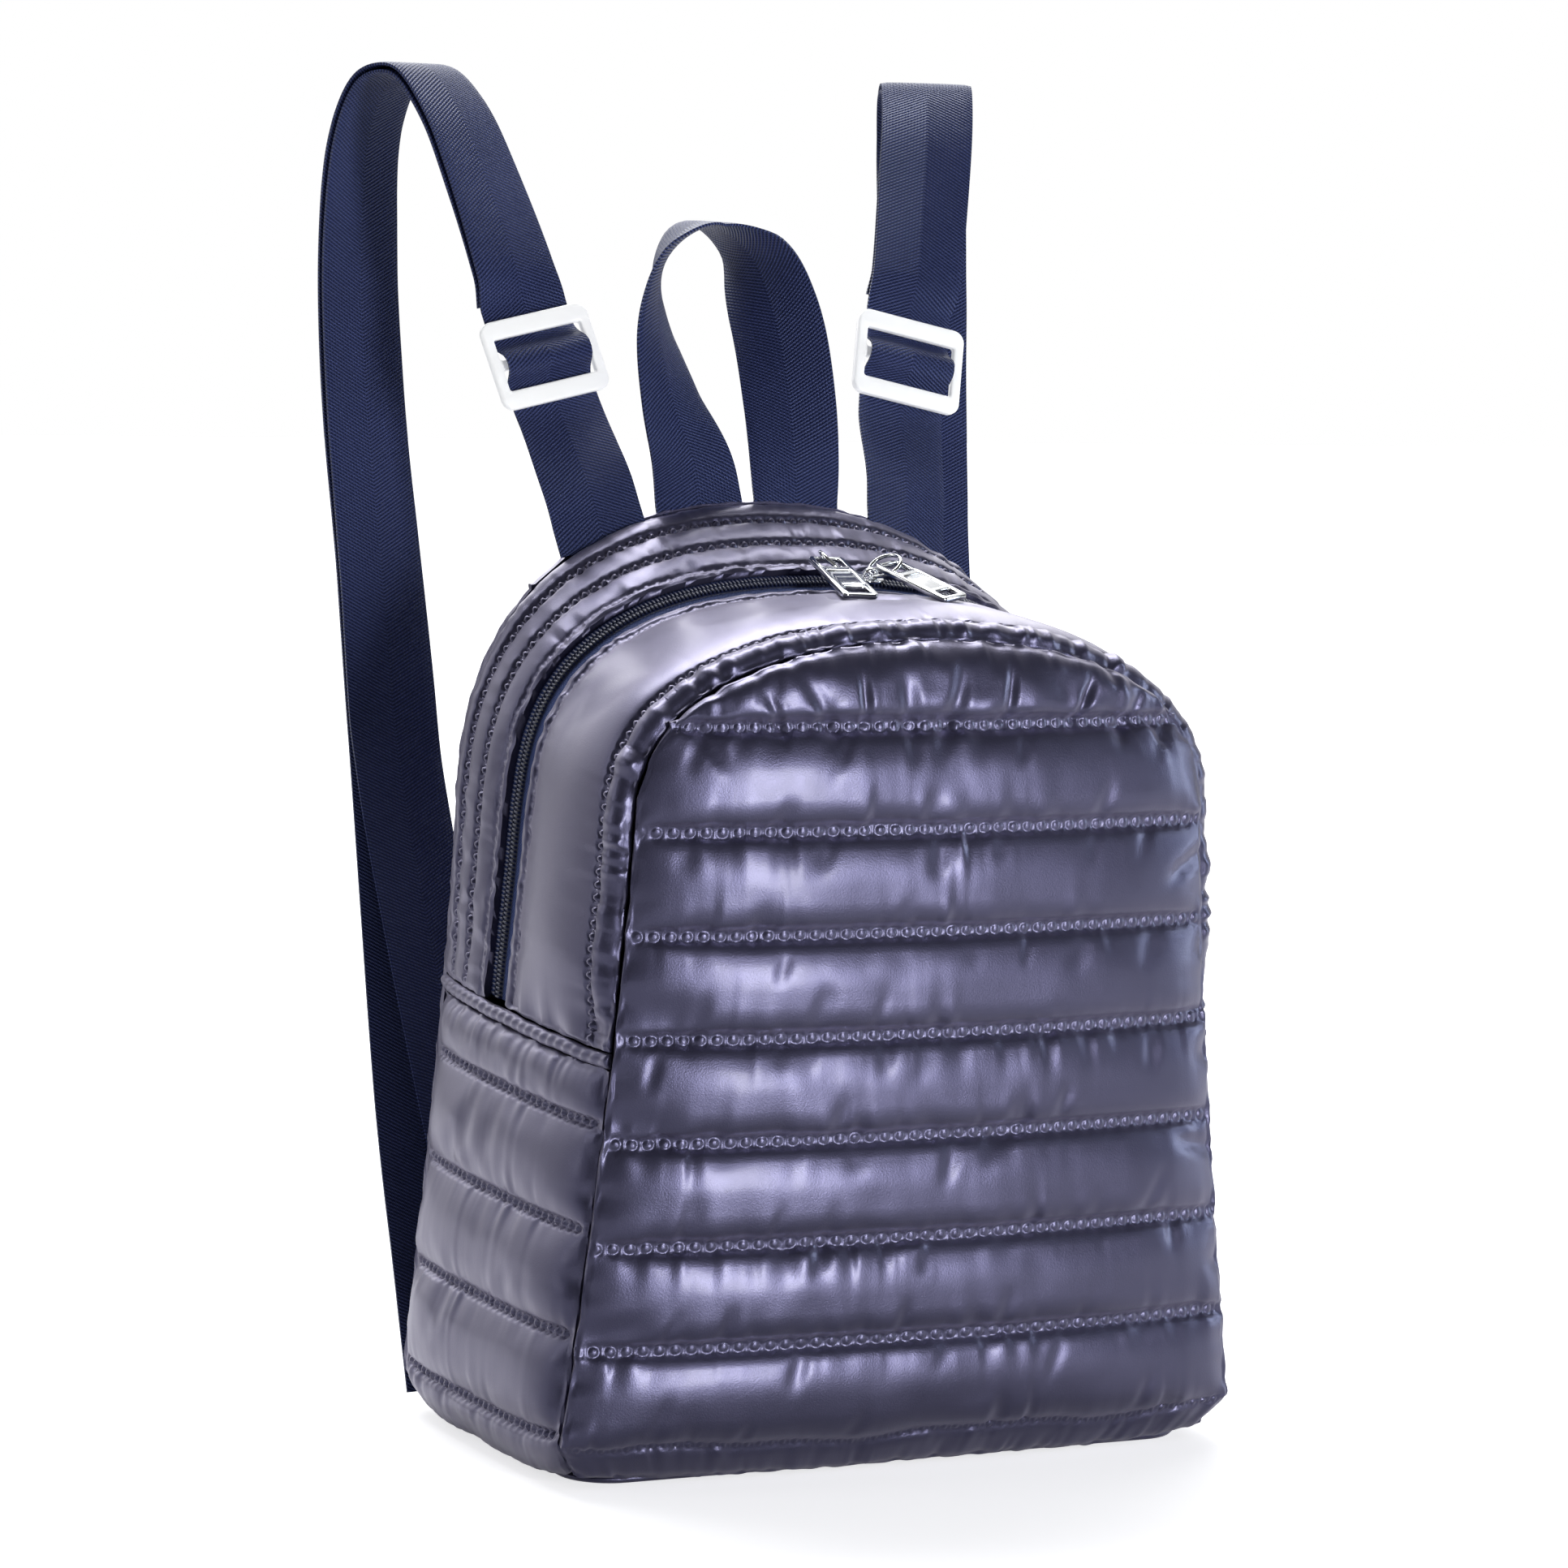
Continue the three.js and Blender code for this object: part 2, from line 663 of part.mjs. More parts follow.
// Where the two pull tabs point: share across and forwards; and how the eye sits on the
// ring in millimetres: slide along the tab, shift across it, rise off its face
const TAB_DIRECTION = {
  left: { across: -0.03, forward: -0.95, slide: -0.5, shift: -0.5, rise: -0.5 },
  right: { across: 0.42, forward: -0.85, slide: -0.5, shift: 0, rise: -1 },
};
// Where the tab hangs on its ring: shares of the ring radius outwards and forwards
const TAB_SEAT = { outward: 0.55, forward: 0.835 };

// Top of the front strip over a point seen from above
function stripHeight(x, y) {
  const d = clamp(y + DEPTH / 2, EDGE, FRONT_STRIP_END);
  let i = 1;
  while (i < frontStations.length - 1 && frontStations[i][0] < d) {
    i += 1;
  }
  const [[d0, lift0], [d1, lift1]] = [frontStations[i - 1], frontStations[i]];
  const lift = mix(lift0, lift1, (d - d0) / (d1 - d0)) - SEAM_CREASE;
  let u = x / zipScale;
  for (let k = 0; k < 6; k += 1) {
    u += (x - gussetPoint(u, d, lift).x) / zipScale;
  }
  return gussetPoint(u, d, lift).z;
}

// Frame of a pull tab that hangs at a point of its ring and drops by a share of its length
function tabFrame(hang, out, turn, drop) {
  const x = vec(turn.across, turn.forward, -drop).normalize();
  const z = out.clone().addScaledVector(x, -out.dot(x)).normalize();
  const y = z.clone().cross(x).normalize();
  const origin = hang.clone()
    .addScaledVector(x, TAB_LENGTH / 2 - TAB_END_BAR - TAB_EYE_LENGTH / 2 + turn.slide)
    .addScaledVector(y, turn.shift * Math.sign(y.x))
    .addScaledVector(z, turn.rise);
  let room = Infinity;
  for (const s of steps(6)) {
    for (const w of [-0.5, 0, 0.5]) {
      const p = origin.clone()
        .addScaledVector(x, (s - 0.5) * TAB_LENGTH)
        .addScaledVector(y, w * TAB_WIDTH)
        .addScaledVector(z, -TAB_THICKNESS / 2);
      room = Math.min(room, p.y + DEPTH / 2 > FRONT_STRIP_END ? Infinity : p.z - stripHeight(p.x, p.y));
    }
  }
  return { x, y, z, origin, room };
}

// The tab lies down until it has only its clearance to the strip
function tabAtRest(hang, out, turn) {
  let drop = 1;
  let frame = tabFrame(hang, out, turn, drop);
  while (drop > 0 && frame.room < TAB_CLEARANCE) {
    drop -= 0.005;
    frame = tabFrame(hang, out, turn, drop);
  }
  return frame;
}

for (const [name, side] of [['left', -1], ['right', 1]]) {
  const { along, deep, out } = gussetFrame(sliderAt(side), ZIP_CENTRE);
  const origin = gussetPoint(sliderAt(side), ZIP_CENTRE, CHAIN_TOP);
  const x = along.clone().multiplyScalar(-side);
  if (x.x * side > 0) {
    x.negate();
  }
  const y = out.clone().cross(x).normalize();
  addPart(`zip_slider_${name}`, 'polished_metal', place(fromManifold(sliderBody()), origin, x, y, out));

  // The ring goes through the crown eye and the eye of the tab
  const eye = origin.clone().addScaledVector(out, GAP + SLIDER_PLATE + (CROWN_HEIGHT - 1.1) / 2 + 0.1);
  const tilt = (RING_TILT * Math.PI) / 180;
  const ringX = x.clone().multiplyScalar(-Math.cos(tilt)).addScaledVector(out, Math.sin(tilt)).normalize();
  const ringY = deep.clone().multiplyScalar(-1).addScaledVector(ringX, deep.dot(ringX)).normalize();
  const ringZ = ringX.clone().cross(ringY).normalize();
  const centre = eye.clone().addScaledVector(ringX, RING_RADIUS);
  const ring = new THREE.TorusGeometry(RING_RADIUS, RING_WIRE, 6, 18);
  place(ring, centre, ringX, ringY, ringZ);
  addPart(`pull_ring_${name}`, 'polished_metal', fromManifold(toManifold(ring)));

  // The ring carries the tab, which lies down on the front strip
  const hang = centre.clone()
    .addScaledVector(ringX, RING_RADIUS * TAB_SEAT.outward)
    .addScaledVector(ringY, RING_RADIUS * TAB_SEAT.forward);
  const tab = tabAtRest(hang, out, TAB_DIRECTION[name]);
  addPart(`pull_tab_${name}`, 'polished_metal', place(fromManifold(pullTab()), tab.origin, tab.x, tab.y, tab.z));
}

// Webbing: stations are { p, w } with the centre and the direction across the webbing
function smoothStations(table, count) {
  const curve = new THREE.CatmullRomCurve3(table.map((r) => vec(r.x, r.y, r.z)), false, 'centripetal');
  const across = new THREE.CatmullRomCurve3(table.map((r) => vec(r.ax, r.ay, r.az)), false, 'centripetal');
  return steps(count).map((t) => {
    const p = curve.getPoint(t);
    const tangent = curve.getTangent(t);
    const w = across.getPoint(t);
    w.addScaledVector(tangent, -w.dot(tangent)).normalize();
    const n = tangent.clone().cross(w).normalize();
    return { p, tangent, w, n };
  });
}

function webbing(stations, offset) {
  const loops = stations.map(({ p, w, n }) => {
    const c = p.clone().addScaledVector(n, offset);
    const h = WEBBING_WIDTH / 2;
    const t = WEBBING_THICKNESS / 2;
    return [
      c.clone().addScaledVector(w, -h).addScaledVector(n, -t),
      c.clone().addScaledVector(w, h).addScaledVector(n, -t),
      c.clone().addScaledVector(w, h).addScaledVector(n, t),
      c.clone().addScaledVector(w, -h).addScaledVector(n, t),
    ];
  });
  return solidFromLoops(loops, 2);
}

// Table rows give a point as x, `back` from the plane of the back seam, and either `up` from
// the top of the back or `z` from the ground; ax, ay, az point across the webbing.
const fromSeam = ({ x, back, up, z, ax, ay, az }) => ({
  x,
  y: DEPTH / 2 + back,
  z: up === undefined ? z : BACK_HEIGHT + up,
  ax,
  ay,
  az,
});

// Carry handle: both feet face the front, the loop leans back and turns through half a circle
const HANDLE_SHIFT = -3;
const HANDLE_PATH = [
  { x: -18.4, back: -0.4, up: -1.75, ax: 1, ay: 0, az: 0.13 },
  { x: -19.5, back: 2.6, up: 11, ax: 1, ay: 0.1, az: 0.08 },
  { x: -25, back: 10, up: 33, ax: 0.86, ay: 0.5, az: 0.15 },
  { x: -26.5, back: 20, up: 59, ax: 0.66, ay: 0.75, az: 0.1 },
  { x: -20, back: 28, up: 80, ax: 0.4, ay: 0.92, az: 0 },
  { x: -4, back: 32.5, up: 92, ax: 0, ay: 1, az: 0 },
  { x: 12, back: 30, up: 84, ax: -0.35, ay: 0.93, az: 0 },
  { x: 19.5, back: 22, up: 61, ax: -0.74, ay: 0.66, az: 0 },
  { x: 20.5, back: 11, up: 33, ax: -0.93, ay: 0.36, az: 0 },
  { x: 19, back: 2.6, up: 11, ax: -0.99, ay: 0.15, az: 0.04 },
  { x: 18.4, back: -0.4, up: -1.15, ax: -1, ay: 0, az: 0.0875 },
];
const handleTable = HANDLE_PATH.map(fromSeam).map((r) => ({ ...r, x: r.x + HANDLE_SHIFT }));
addPart('carry_handle', 'webbing', webbing(smoothStations(handleTable, 44), 0));

// Shoulder strap: up from the back top seam, through the strap slider, over and down
const STRAP_PATH = [
  { x: 58.5, back: 0, up: -8.6, ax: 0.894, ay: 0, az: -0.447 },
  { x: 60.6, back: 5, up: 4, ax: 0.93, ay: -0.02, az: -0.36 },
  { x: 64, back: 14, up: 22, ax: 0.97, ay: -0.05, az: -0.24 },
  { x: 69.5, back: 23, up: 46, ax: 0.98, ay: -0.07, az: -0.2 },
  { x: 76.5, back: 32, up: 73, ax: 0.95, ay: -0.22, az: -0.2 },
  { x: 84, back: 43, up: 104, ax: 0.92, ay: -0.36, az: -0.15 },
  { x: 91, back: 55, up: 129, ax: 0.9, ay: -0.43, az: -0.08 },
  { x: 97.5, back: 69, up: 142, ax: 0.894, ay: -0.447, az: 0 },
  { x: 104, back: 84, up: 139, ax: 0.894, ay: -0.447, az: 0 },
  { x: 108.5, back: 92, up: 121, ax: 0.91, ay: -0.41, az: 0 },
  { x: 110.5, back: 92, up: 78, ax: 0.96, ay: -0.27, az: 0 },
  { x: 109.5, back: 86, up: 28, ax: 0.98, ay: -0.2, az: 0 },
  { x: 107, back: 75, up: -27, ax: 0.99, ay: -0.12, az: 0 },
  { x: 106, back: 61, z: 225, ax: 1, ay: 0.03, az: 0 },
  { x: 107, back: 42, z: 160, ax: 1, ay: 0.04, az: 0 },
  { x: 107, back: 25, z: 95, ax: 1, ay: 0.02, az: 0 },
  { x: 105, back: 12, z: 45, ax: 1, ay: 0, az: 0 },
  { x: 103.4, back: 6, z: 18, ax: 1, ay: 0, az: 0 },
  { x: 103, back: 2.3, z: 5.5, ax: 1, ay: 0, az: 0 },
];
const LAYER_START = 4.3;
const LAYER_BEHIND = 57;
const strapTable = STRAP_PATH.map(fromSeam);

// Rows of the strap table: the slider sits on one, the second layer leaves at the other
const rowOf = { slider: 3, leaving: 13 };

const mirror = (v) => vec(-v.x, v.y, v.z);

// The strap slider frame: centre, up along the strap, across it and out of its front
function glideFrame() {
  const a = strapTable[rowOf.slider - 1];
  const b = strapTable[rowOf.slider];
  const c = strapTable[rowOf.slider + 1];
  const up = vec(c.x - a.x, c.y - a.y, c.z - a.z).normalize();
  const across = vec(b.ax, b.ay, b.az);
  across.addScaledVector(up, -across.dot(up)).normalize();
  const front = across.clone().cross(up).normalize();
  if (front.y > 0) {
    front.negate();
  }
  return { centre: vec(b.x, b.y, b.z), up, across, front };
}

// The webbing weaves behind the lower bar, over the middle bar and behind the upper bar
const WEAVE = [
  { along: -22, out: -2.4 },
  { along: -17, out: -3.0 },
  { along: -12, out: -3.2 },
  { along: -9, out: -3.1 },
  { along: -6.6, out: -1.6 },
  { along: -4.9, out: 0.4 },
  { along: -3.4, out: 2.6 },
  { along: -1.5, out: 3.9 },
  { along: 1.5, out: 3.9 },
  { along: 3.4, out: 2.6 },
  { along: 4.9, out: 0.4 },
  { along: 6.6, out: -1.6 },
  { along: 9, out: -3.1 },
  { along: 12, out: -3.2 },
  { along: 17, out: -3.0 },
  { along: 22, out: -2.4 },
];

function strapStations() {
  const { centre, up, across, front } = glideFrame();
  const row = ({ along, out }) => {
    const p = centre.clone().addScaledVector(up, along).addScaledVector(front, out);
    return { x: p.x, y: p.y, z: p.z, ax: across.x, ay: across.y, az: across.z };
  };
  const before = strapTable.slice(0, rowOf.slider - 1);
  const after = strapTable.slice(rowOf.slider + 1);
  return [...before, ...WEAVE.map(row), ...after];
}

function refined(table, perSpan) {
  const curve = new THREE.CatmullRomCurve3(table.map((r) => vec(r.x, r.y, r.z)), false, 'centripetal');
  const across = new THREE.CatmullRomCurve3(table.map((r) => vec(r.ax, r.ay, r.az)), false, 'centripetal');
  const spans = table.length - 1;
  const out = [];
  const add = (t) => {
    const p = curve.getPoint(t);
    const tangent = curve.getTangent(t);
    const w = across.getPoint(t);
    w.addScaledVector(tangent, -w.dot(tangent)).normalize();
    out.push({ p, tangent, w, n: tangent.clone().cross(w).normalize() });
  };
  for (let i = 0; i < spans; i += 1) {
    const gap = Math.hypot(
      table[i + 1].x - table[i].x,
      table[i + 1].y - table[i].y,
      table[i + 1].z - table[i].z,
    );
    const parts = gap < 8 ? 1 : perSpan;
    for (let k = 0; k < parts; k += 1) {
      add((i + k / parts) / spans);
    }
  }
  add(1);
  return out;
}

// The second webbing layer lies inside the first, from above the slider to the low back
function layerStations(stations, frame) {
  const start = frame.centre.clone().addScaledVector(frame.up, GLIDE_HEIGHT / 2 + LAYER_START);
  const picked = stations.filter(({ p }) => {
    const behind = p.y > DEPTH / 2 + LAYER_BEHIND;
    const past = p.clone().sub(start).dot(frame.up) > 0 || behind;
    const low = p.y < strapTable[rowOf.leaving].y && p.z < BACK_HEIGHT;
    return past && (behind || p.z > start.z) && !low;
  });
  const end = picked[picked.length - 1];
  const moved = picked.map((s) => ({ ...s, p: s.p.clone().addScaledVector(s.n, LAYER_SPACING) }));
  const tail = [
    { inwards: 1.5, back: 48, z: 193 },
    { inwards: 5, back: 32, z: 150 },
    { inwards: 10, back: 17, z: 105 },
    { inwards: 14.5, back: 7.6, z: 70 },
    { inwards: 16, back: 5.9, z: 48 },
  ].map(({ inwards, back, z }) => vec(end.p.x - inwards, DEPTH / 2 + back, z));
  const path = [moved[moved.length - 2].p, moved[moved.length - 1].p, ...tail];
  const curve = new THREE.CatmullRomCurve3(path, false, 'centripetal');
  const rest = [];
  for (const t of steps(12)) {
    const at = (1 + t * (path.length - 2)) / (path.length - 1);
    if (t > 0) {
      const tangent = curve.getTangent(at);
      const w = vec(1, 0, 0).addScaledVector(tangent, -tangent.x).normalize();
      rest.push({ p: curve.getPoint(at), tangent, w, n: tangent.clone().cross(w).normalize() });
    }
  }
  return [...moved, ...rest];
}

// Strap slider: a rounded frame with a middle bar
function glide() {
  const plate = roundedPlate(GLIDE_WIDTH, GLIDE_HEIGHT, GLIDE_THICKNESS, 4);
  const slotWidth = GLIDE_WIDTH - 2 * GLIDE_SIDE_BAR;
  const slotHeight = (GLIDE_HEIGHT - 2 * GLIDE_BAR - GLIDE_MIDDLE_BAR) / 2;
  const offset = (GLIDE_MIDDLE_BAR + slotHeight) / 2;
  const upper = block(slotWidth, slotHeight, 10, 0, offset, 0);
  const lower = block(slotWidth, slotHeight, 10, 0, -offset, 0);
  return toManifold(plate).subtract(upper).subtract(lower);
}

for (const [name, side] of [['left', -1], ['right', 1]]) {
  const flip = (s) => (side > 0 ? s : {
    p: mirror(s.p),
    tangent: mirror(s.tangent),
    w: mirror(s.w).negate(),
    n: mirror(s.n),
  });
  const frame = glideFrame();
  const stations = refined(strapStations(), 4);
  const layer = layerStations(stations, frame);
  addPart(`shoulder_strap_${name}`, 'webbing', webbing(stations.map(flip), 0));
  addPart(`strap_second_layer_${name}`, 'webbing', webbing(layer.map(flip), 0));
  const c = side > 0 ? frame.centre : mirror(frame.centre);
  const up = side > 0 ? frame.up : mirror(frame.up);
  const across = side > 0 ? frame.across : mirror(frame.across).negate();
  const front = across.clone().cross(up).normalize();
  addPart(`strap_slider_${name}`, 'white_plastic', place(fromManifold(glide()), c, across, up, front));
}

export default group;
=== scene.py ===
"""Looks of the quilted mini backpack: puffed nylon panels, webbing, zip and fittings.

The bag stands on its base with the front towards -Y. Sizes are millimetres in the classes and
become metres where a mesh is made.
"""

import logging
import math
from collections.abc import Callable, Sequence
from dataclasses import dataclass, field
from enum import Enum

import bmesh
import bpy
import numpy as np
from mathutils import Matrix, Vector


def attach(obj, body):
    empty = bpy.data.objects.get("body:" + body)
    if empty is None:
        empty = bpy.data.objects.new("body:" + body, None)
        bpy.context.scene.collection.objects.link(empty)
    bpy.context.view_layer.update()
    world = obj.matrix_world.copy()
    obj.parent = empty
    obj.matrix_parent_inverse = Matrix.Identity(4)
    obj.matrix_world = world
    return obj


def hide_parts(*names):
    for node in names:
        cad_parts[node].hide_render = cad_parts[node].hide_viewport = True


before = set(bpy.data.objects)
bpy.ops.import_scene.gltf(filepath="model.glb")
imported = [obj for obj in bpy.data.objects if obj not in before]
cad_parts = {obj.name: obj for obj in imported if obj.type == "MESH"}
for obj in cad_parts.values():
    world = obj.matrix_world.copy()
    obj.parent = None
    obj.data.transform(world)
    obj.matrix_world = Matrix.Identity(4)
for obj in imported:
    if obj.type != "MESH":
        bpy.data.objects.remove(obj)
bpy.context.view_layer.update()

logging.basicConfig(level=logging.INFO, format="%(message)s")
LOG = logging.getLogger("backpack")
MM = 0.001
Array = np.ndarray


class Slot(Enum):
    """Material slots of the record."""

    NYLON = "quilted_nylon"
    TAPE = "zip_tape"
    TEETH = "zip_teeth"
    METAL = "polished_metal"
    WEBBING = "webbing"
    PLASTIC = "white_plastic"


class Line(Enum):
    """What runs along a line across a padded panel."""

    EDGE = "edge"
    DOTS = "dots"
    SMALL_DOTS = "small dots"
    STITCH = "stitch"


class Side(Enum):
    """Left and right of the bag, as the sign of X."""

    LEFT = -1
    RIGHT = 1

    @property
    def word(self) -> str:
        """The side as it stands in node names."""
        return self.name.lower()


# Small mathematics


def smooth(low: float, high: float, value: Array) -> Array:
    """Smooth step from 0 at low to 1 at high."""
    t = np.clip((np.asarray(value, float) - low) / (high - low), 0, 1)
    return t * t * (3 - 2 * t)


def unit(vectors: Array) -> Array:
    """Vectors of length one along the last axis."""
    length = np.linalg.norm(vectors, axis=-1, keepdims=True)
    return vectors / np.maximum(length, 1e-9)


def ripple(at: Array, spacing: float, seed: int) -> Array:
    """Smooth random line of about one wave per two spacings.

    Args:
        at: places along the line in mm.
        spacing: mean distance of the knots.
        seed: number that fixes the random values.

    Returns:
        Values between -1 and 1 of the shape of at.
    """
    rng = np.random.default_rng(seed)
    at = np.asarray(at, float)
    count = int((at.max() - at.min()) / spacing) + 8
    knots = at.min() - 3 * spacing + np.cumsum(spacing * rng.uniform(0.6, 1.4, count + 6))
    values = rng.uniform(-1, 1, len(knots))
    i = np.clip(np.searchsorted(knots, at) - 1, 0, len(knots) - 2)
    t = np.clip((at - knots[i]) / (knots[i + 1] - knots[i]), 0, 1)
    t = t * t * (3 - 2 * t)
    return values[i] * (1 - t) + values[i + 1] * t


def cloud(u: Array, v: Array, size: float, seed: int) -> Array:
    """Smooth random field over two coordinates in mm, between about -1 and 1."""
    rng = np.random.default_rng(seed)
    total = np.zeros(np.broadcast(u, v).shape)
    for _ in range(9):
        angle = rng.uniform(0, 2 * math.pi)
        wave = 2 * math.pi / (size * rng.uniform(0.7, 1.6))
        total += np.sin(wave * (u * math.cos(angle) + v * math.sin(angle)) + rng.uniform(0, 6.28))
    return total / 3.2


def channel(share: Array) -> Array:
    """Height of a filled channel between two lines, as a share of its rise."""
    return np.clip(1 - (2 * share - 1) ** 2, 0, 1) ** 0.62


def spaced(start: float, end: float, fine: float, coarse: float, reach: float = 5.0) -> Array:
    """Places from start to end that crowd near both.

    Args:
        start: first place.
        end: last place.
        fine: spacing at both ends.
        coarse: spacing in the middle.
        reach: distance from an end over which the spacing grows.

    Returns:
        The places in rising order, with both ends.
    """
    places = [start]
    while places[-1] < end:
        near = min(places[-1] - start, end - places[-1])
        places.append(places[-1] + fine + (coarse - fine) * float(smooth(reach * 0.6, reach * 1.6, near)))
    out = np.array(places)
    return start + (out - start) * (end - start) / (out[-1] - start)


def spread(values: Array, knots: Array, at: Array, breaks: Sequence[int]) -> Array:
    """Cubic interpolation along the first axis that doesn't reach across the breaks.

    Args:
        values: values at the knots, with any further axes.
        knots: rising places of the values.
        at: places that are asked for.
        breaks: knot numbers where one stretch ends and the next begins.

    Returns:
        Values at the asked places.
    """
    i = np.clip(np.searchsorted(knots, at, side="right") - 1, 0, len(knots) - 2)
    edges = np.array(sorted({0, len(knots) - 1, *breaks}))
    part = np.clip(np.searchsorted(edges, i, side="right") - 1, 0, len(edges) - 2)
    low, high = edges[part], edges[part + 1]
    t = ((at - knots[i]) / (knots[i + 1] - knots[i])).reshape((-1,) + (1,) * (values.ndim - 1))
    p0, p1 = values[np.maximum(i - 1, low)], values[i]
    p2, p3 = values[np.minimum(i + 1, high)], values[np.minimum(i + 2, high)]
    return 0.5 * (
        2 * p1 + (p2 - p0) * t + (2 * p0 - 5 * p1 + 4 * p2 - p3) * t**2 + (3 * p1 - p0 - 3 * p2 + p3) * t**3
    )


class SpaceCurve:
    """Centripetal curve through points, as the shape source lays its webbing."""

    def __init__(self, points: Sequence[Sequence[float]]) -> None:
        """Keeps the points that the curve goes through."""
        self.points = np.array(points, float)

    def at(self, share: float) -> Array:
        """Point of the curve at a share of its spans from 0 to 1."""
        p, last = self.points, len(self.points) - 1
        place = min(max(share, 0.0), 1.0) * last
        i = min(int(place), last - 1)
        w = place - i
        p1, p2 = p[i], p[i + 1]
        p0 = p[i - 1] if i > 0 else 2 * p[0] - p[1]
        p3 = p[i + 2] if i + 2 <= last else 2 * p[last] - p[last - 1]
        d1 = max(float(np.linalg.norm(p2 - p1)) ** 0.5, 1e-4)
        d0 = max(float(np.linalg.norm(p1 - p0)) ** 0.5, 1e-4)
        d2 = max(float(np.linalg.norm(p3 - p2)) ** 0.5, 1e-4)
        t1 = ((p1 - p0) / d0 - (p2 - p0) / (d0 + d1) + (p2 - p1) / d1) * d1
        t2 = ((p2 - p1) / d1 - (p3 - p1) / (d1 + d2) + (p3 - p2) / d2) * d1
        return p1 + t1 * w + (-3 * p1 + 3 * p2 - 2 * t1 - t2) * w**2 + (2 * p1 - 2 * p2 + t1 + t2) * w**3

    def tangent(self, share: float) -> Array:
        """Direction of the curve at a share from 0 to 1."""
        return unit(self.at(min(share + 1e-4, 1.0)) - self.at(max(share - 1e-4, 0.0)))


# Meshes


def mesh_object(
    name: str, points: Array, quads: Array, tris: Array | None = None, uv: Array | None = None
) -> bpy.types.Object:
    """Smooth-shaded mesh object from arrays.

    Args:
        name: name of the piece.
        points: corner points in mm.
        quads: four corner numbers a row.
        tris: three corner numbers a row.
        uv: two coordinates in mm for each point.

    Returns:
        The object, linked to the scene.
    """
    quads = np.asarray(quads, int).reshape(-1, 4)
    tris = np.zeros((0, 3), int) if tris is None else np.asarray(tris, int).reshape(-1, 3)
    mesh = bpy.data.meshes.new(name)
    mesh.vertices.add(len(points))
    mesh.vertices.foreach_set("co", (np.asarray(points, float) * MM).ravel())
    corners = np.concatenate([quads.ravel(), tris.ravel()])
    mesh.loops.add(len(corners))
    mesh.loops.foreach_set("vertex_index", corners)
    starts = np.concatenate([np.arange(len(quads)) * 4, len(quads) * 4 + np.arange(len(tris)) * 3])
    mesh.polygons.add(len(starts))
    mesh.polygons.foreach_set("loop_start", starts)
    mesh.polygons.foreach_set("use_smooth", np.ones(len(starts), bool))
    mesh.update(calc_edges=True)
    if uv is not None:
        layer = mesh.uv_layers.new(name="cloth")
        layer.data.foreach_set("uv", (np.asarray(uv, float)[corners] * MM).ravel())
    mesh.validate()
    obj = bpy.data.objects.new(name, mesh)
    bpy.context.scene.collection.objects.link(obj)
    return obj


def grid_quads(rows: int, cols: int, first: int = 0, turned: bool = False) -> Array:
    """Corner numbers of the cells of a grid whose points are numbered row by row."""
    i = first + np.arange(rows * cols).reshape(rows, cols)
    order = (i[:-1, :-1], i[:-1, 1:], i[1:, 1:], i[1:, :-1])
    return np.stack(order[::-1] if turned else order, axis=-1).reshape(-1, 4)


def picked(count: int, stride: int) -> Array:
    """Every stride-th number up to count, with the first and the last."""
    return np.unique(np.append(np.arange(0, count, stride), count - 1))


def shell(name: str, outer: Array, inner: Array, stride: int, uv: Array) -> bpy.types.Object:
    """Closed cloth body with a fine outer grid and a coarser inner one.

    Args:
        name: name of the piece.
        outer: rows by columns of outer points in mm.
        inner: inner points of the same grid.
        stride: how many outer cells one inner cell spans.
        uv: flat cloth coordinates in mm of the outer grid.

    Returns:
        The object.
    """
    rows, cols = outer.shape[:2]
    ri, ci = picked(rows, stride), picked(cols, stride)
    back = inner[np.ix_(ri, ci)]
    base = rows * cols
    number = np.arange(base).reshape(rows, cols)
    behind = base + np.arange(len(ri) * len(ci)).reshape(len(ri), len(ci))
    tris: list[tuple[int, int, int]] = []

    def edge(fine: Array, coarse: Array, marks: Array) -> None:
        """Joins one side of the fine rim to the coarse one."""
        for k in range(len(marks) - 1):
            a, b = int(coarse[k]), int(coarse[k + 1])
            for j in range(marks[k], marks[k + 1]):
                tris.append((int(fine[j + 1]), int(fine[j]), a))
            tris.append((b, int(fine[marks[k + 1]]), a))

    edge(number[0], behind[0], ci)
    edge(number[-1][::-1], behind[-1][::-1], (cols - 1 - ci)[::-1])
    edge(number[:, 0][::-1], behind[:, 0][::-1], (rows - 1 - ri)[::-1])
    edge(number[:, -1], behind[:, -1], ri)
    quads = np.concatenate([grid_quads(rows, cols), grid_quads(len(ri), len(ci), base, True)])
    points = np.concatenate([outer.reshape(-1, 3), back.reshape(-1, 3)])
    flat = np.concatenate([uv.reshape(-1, 2), uv[np.ix_(ri, ci)].reshape(-1, 2)])
    obj = mesh_object(name, points, quads, np.array(tris), flat)
    obj.data.set_sharp_from_angle(angle=math.radians(65))
    return obj


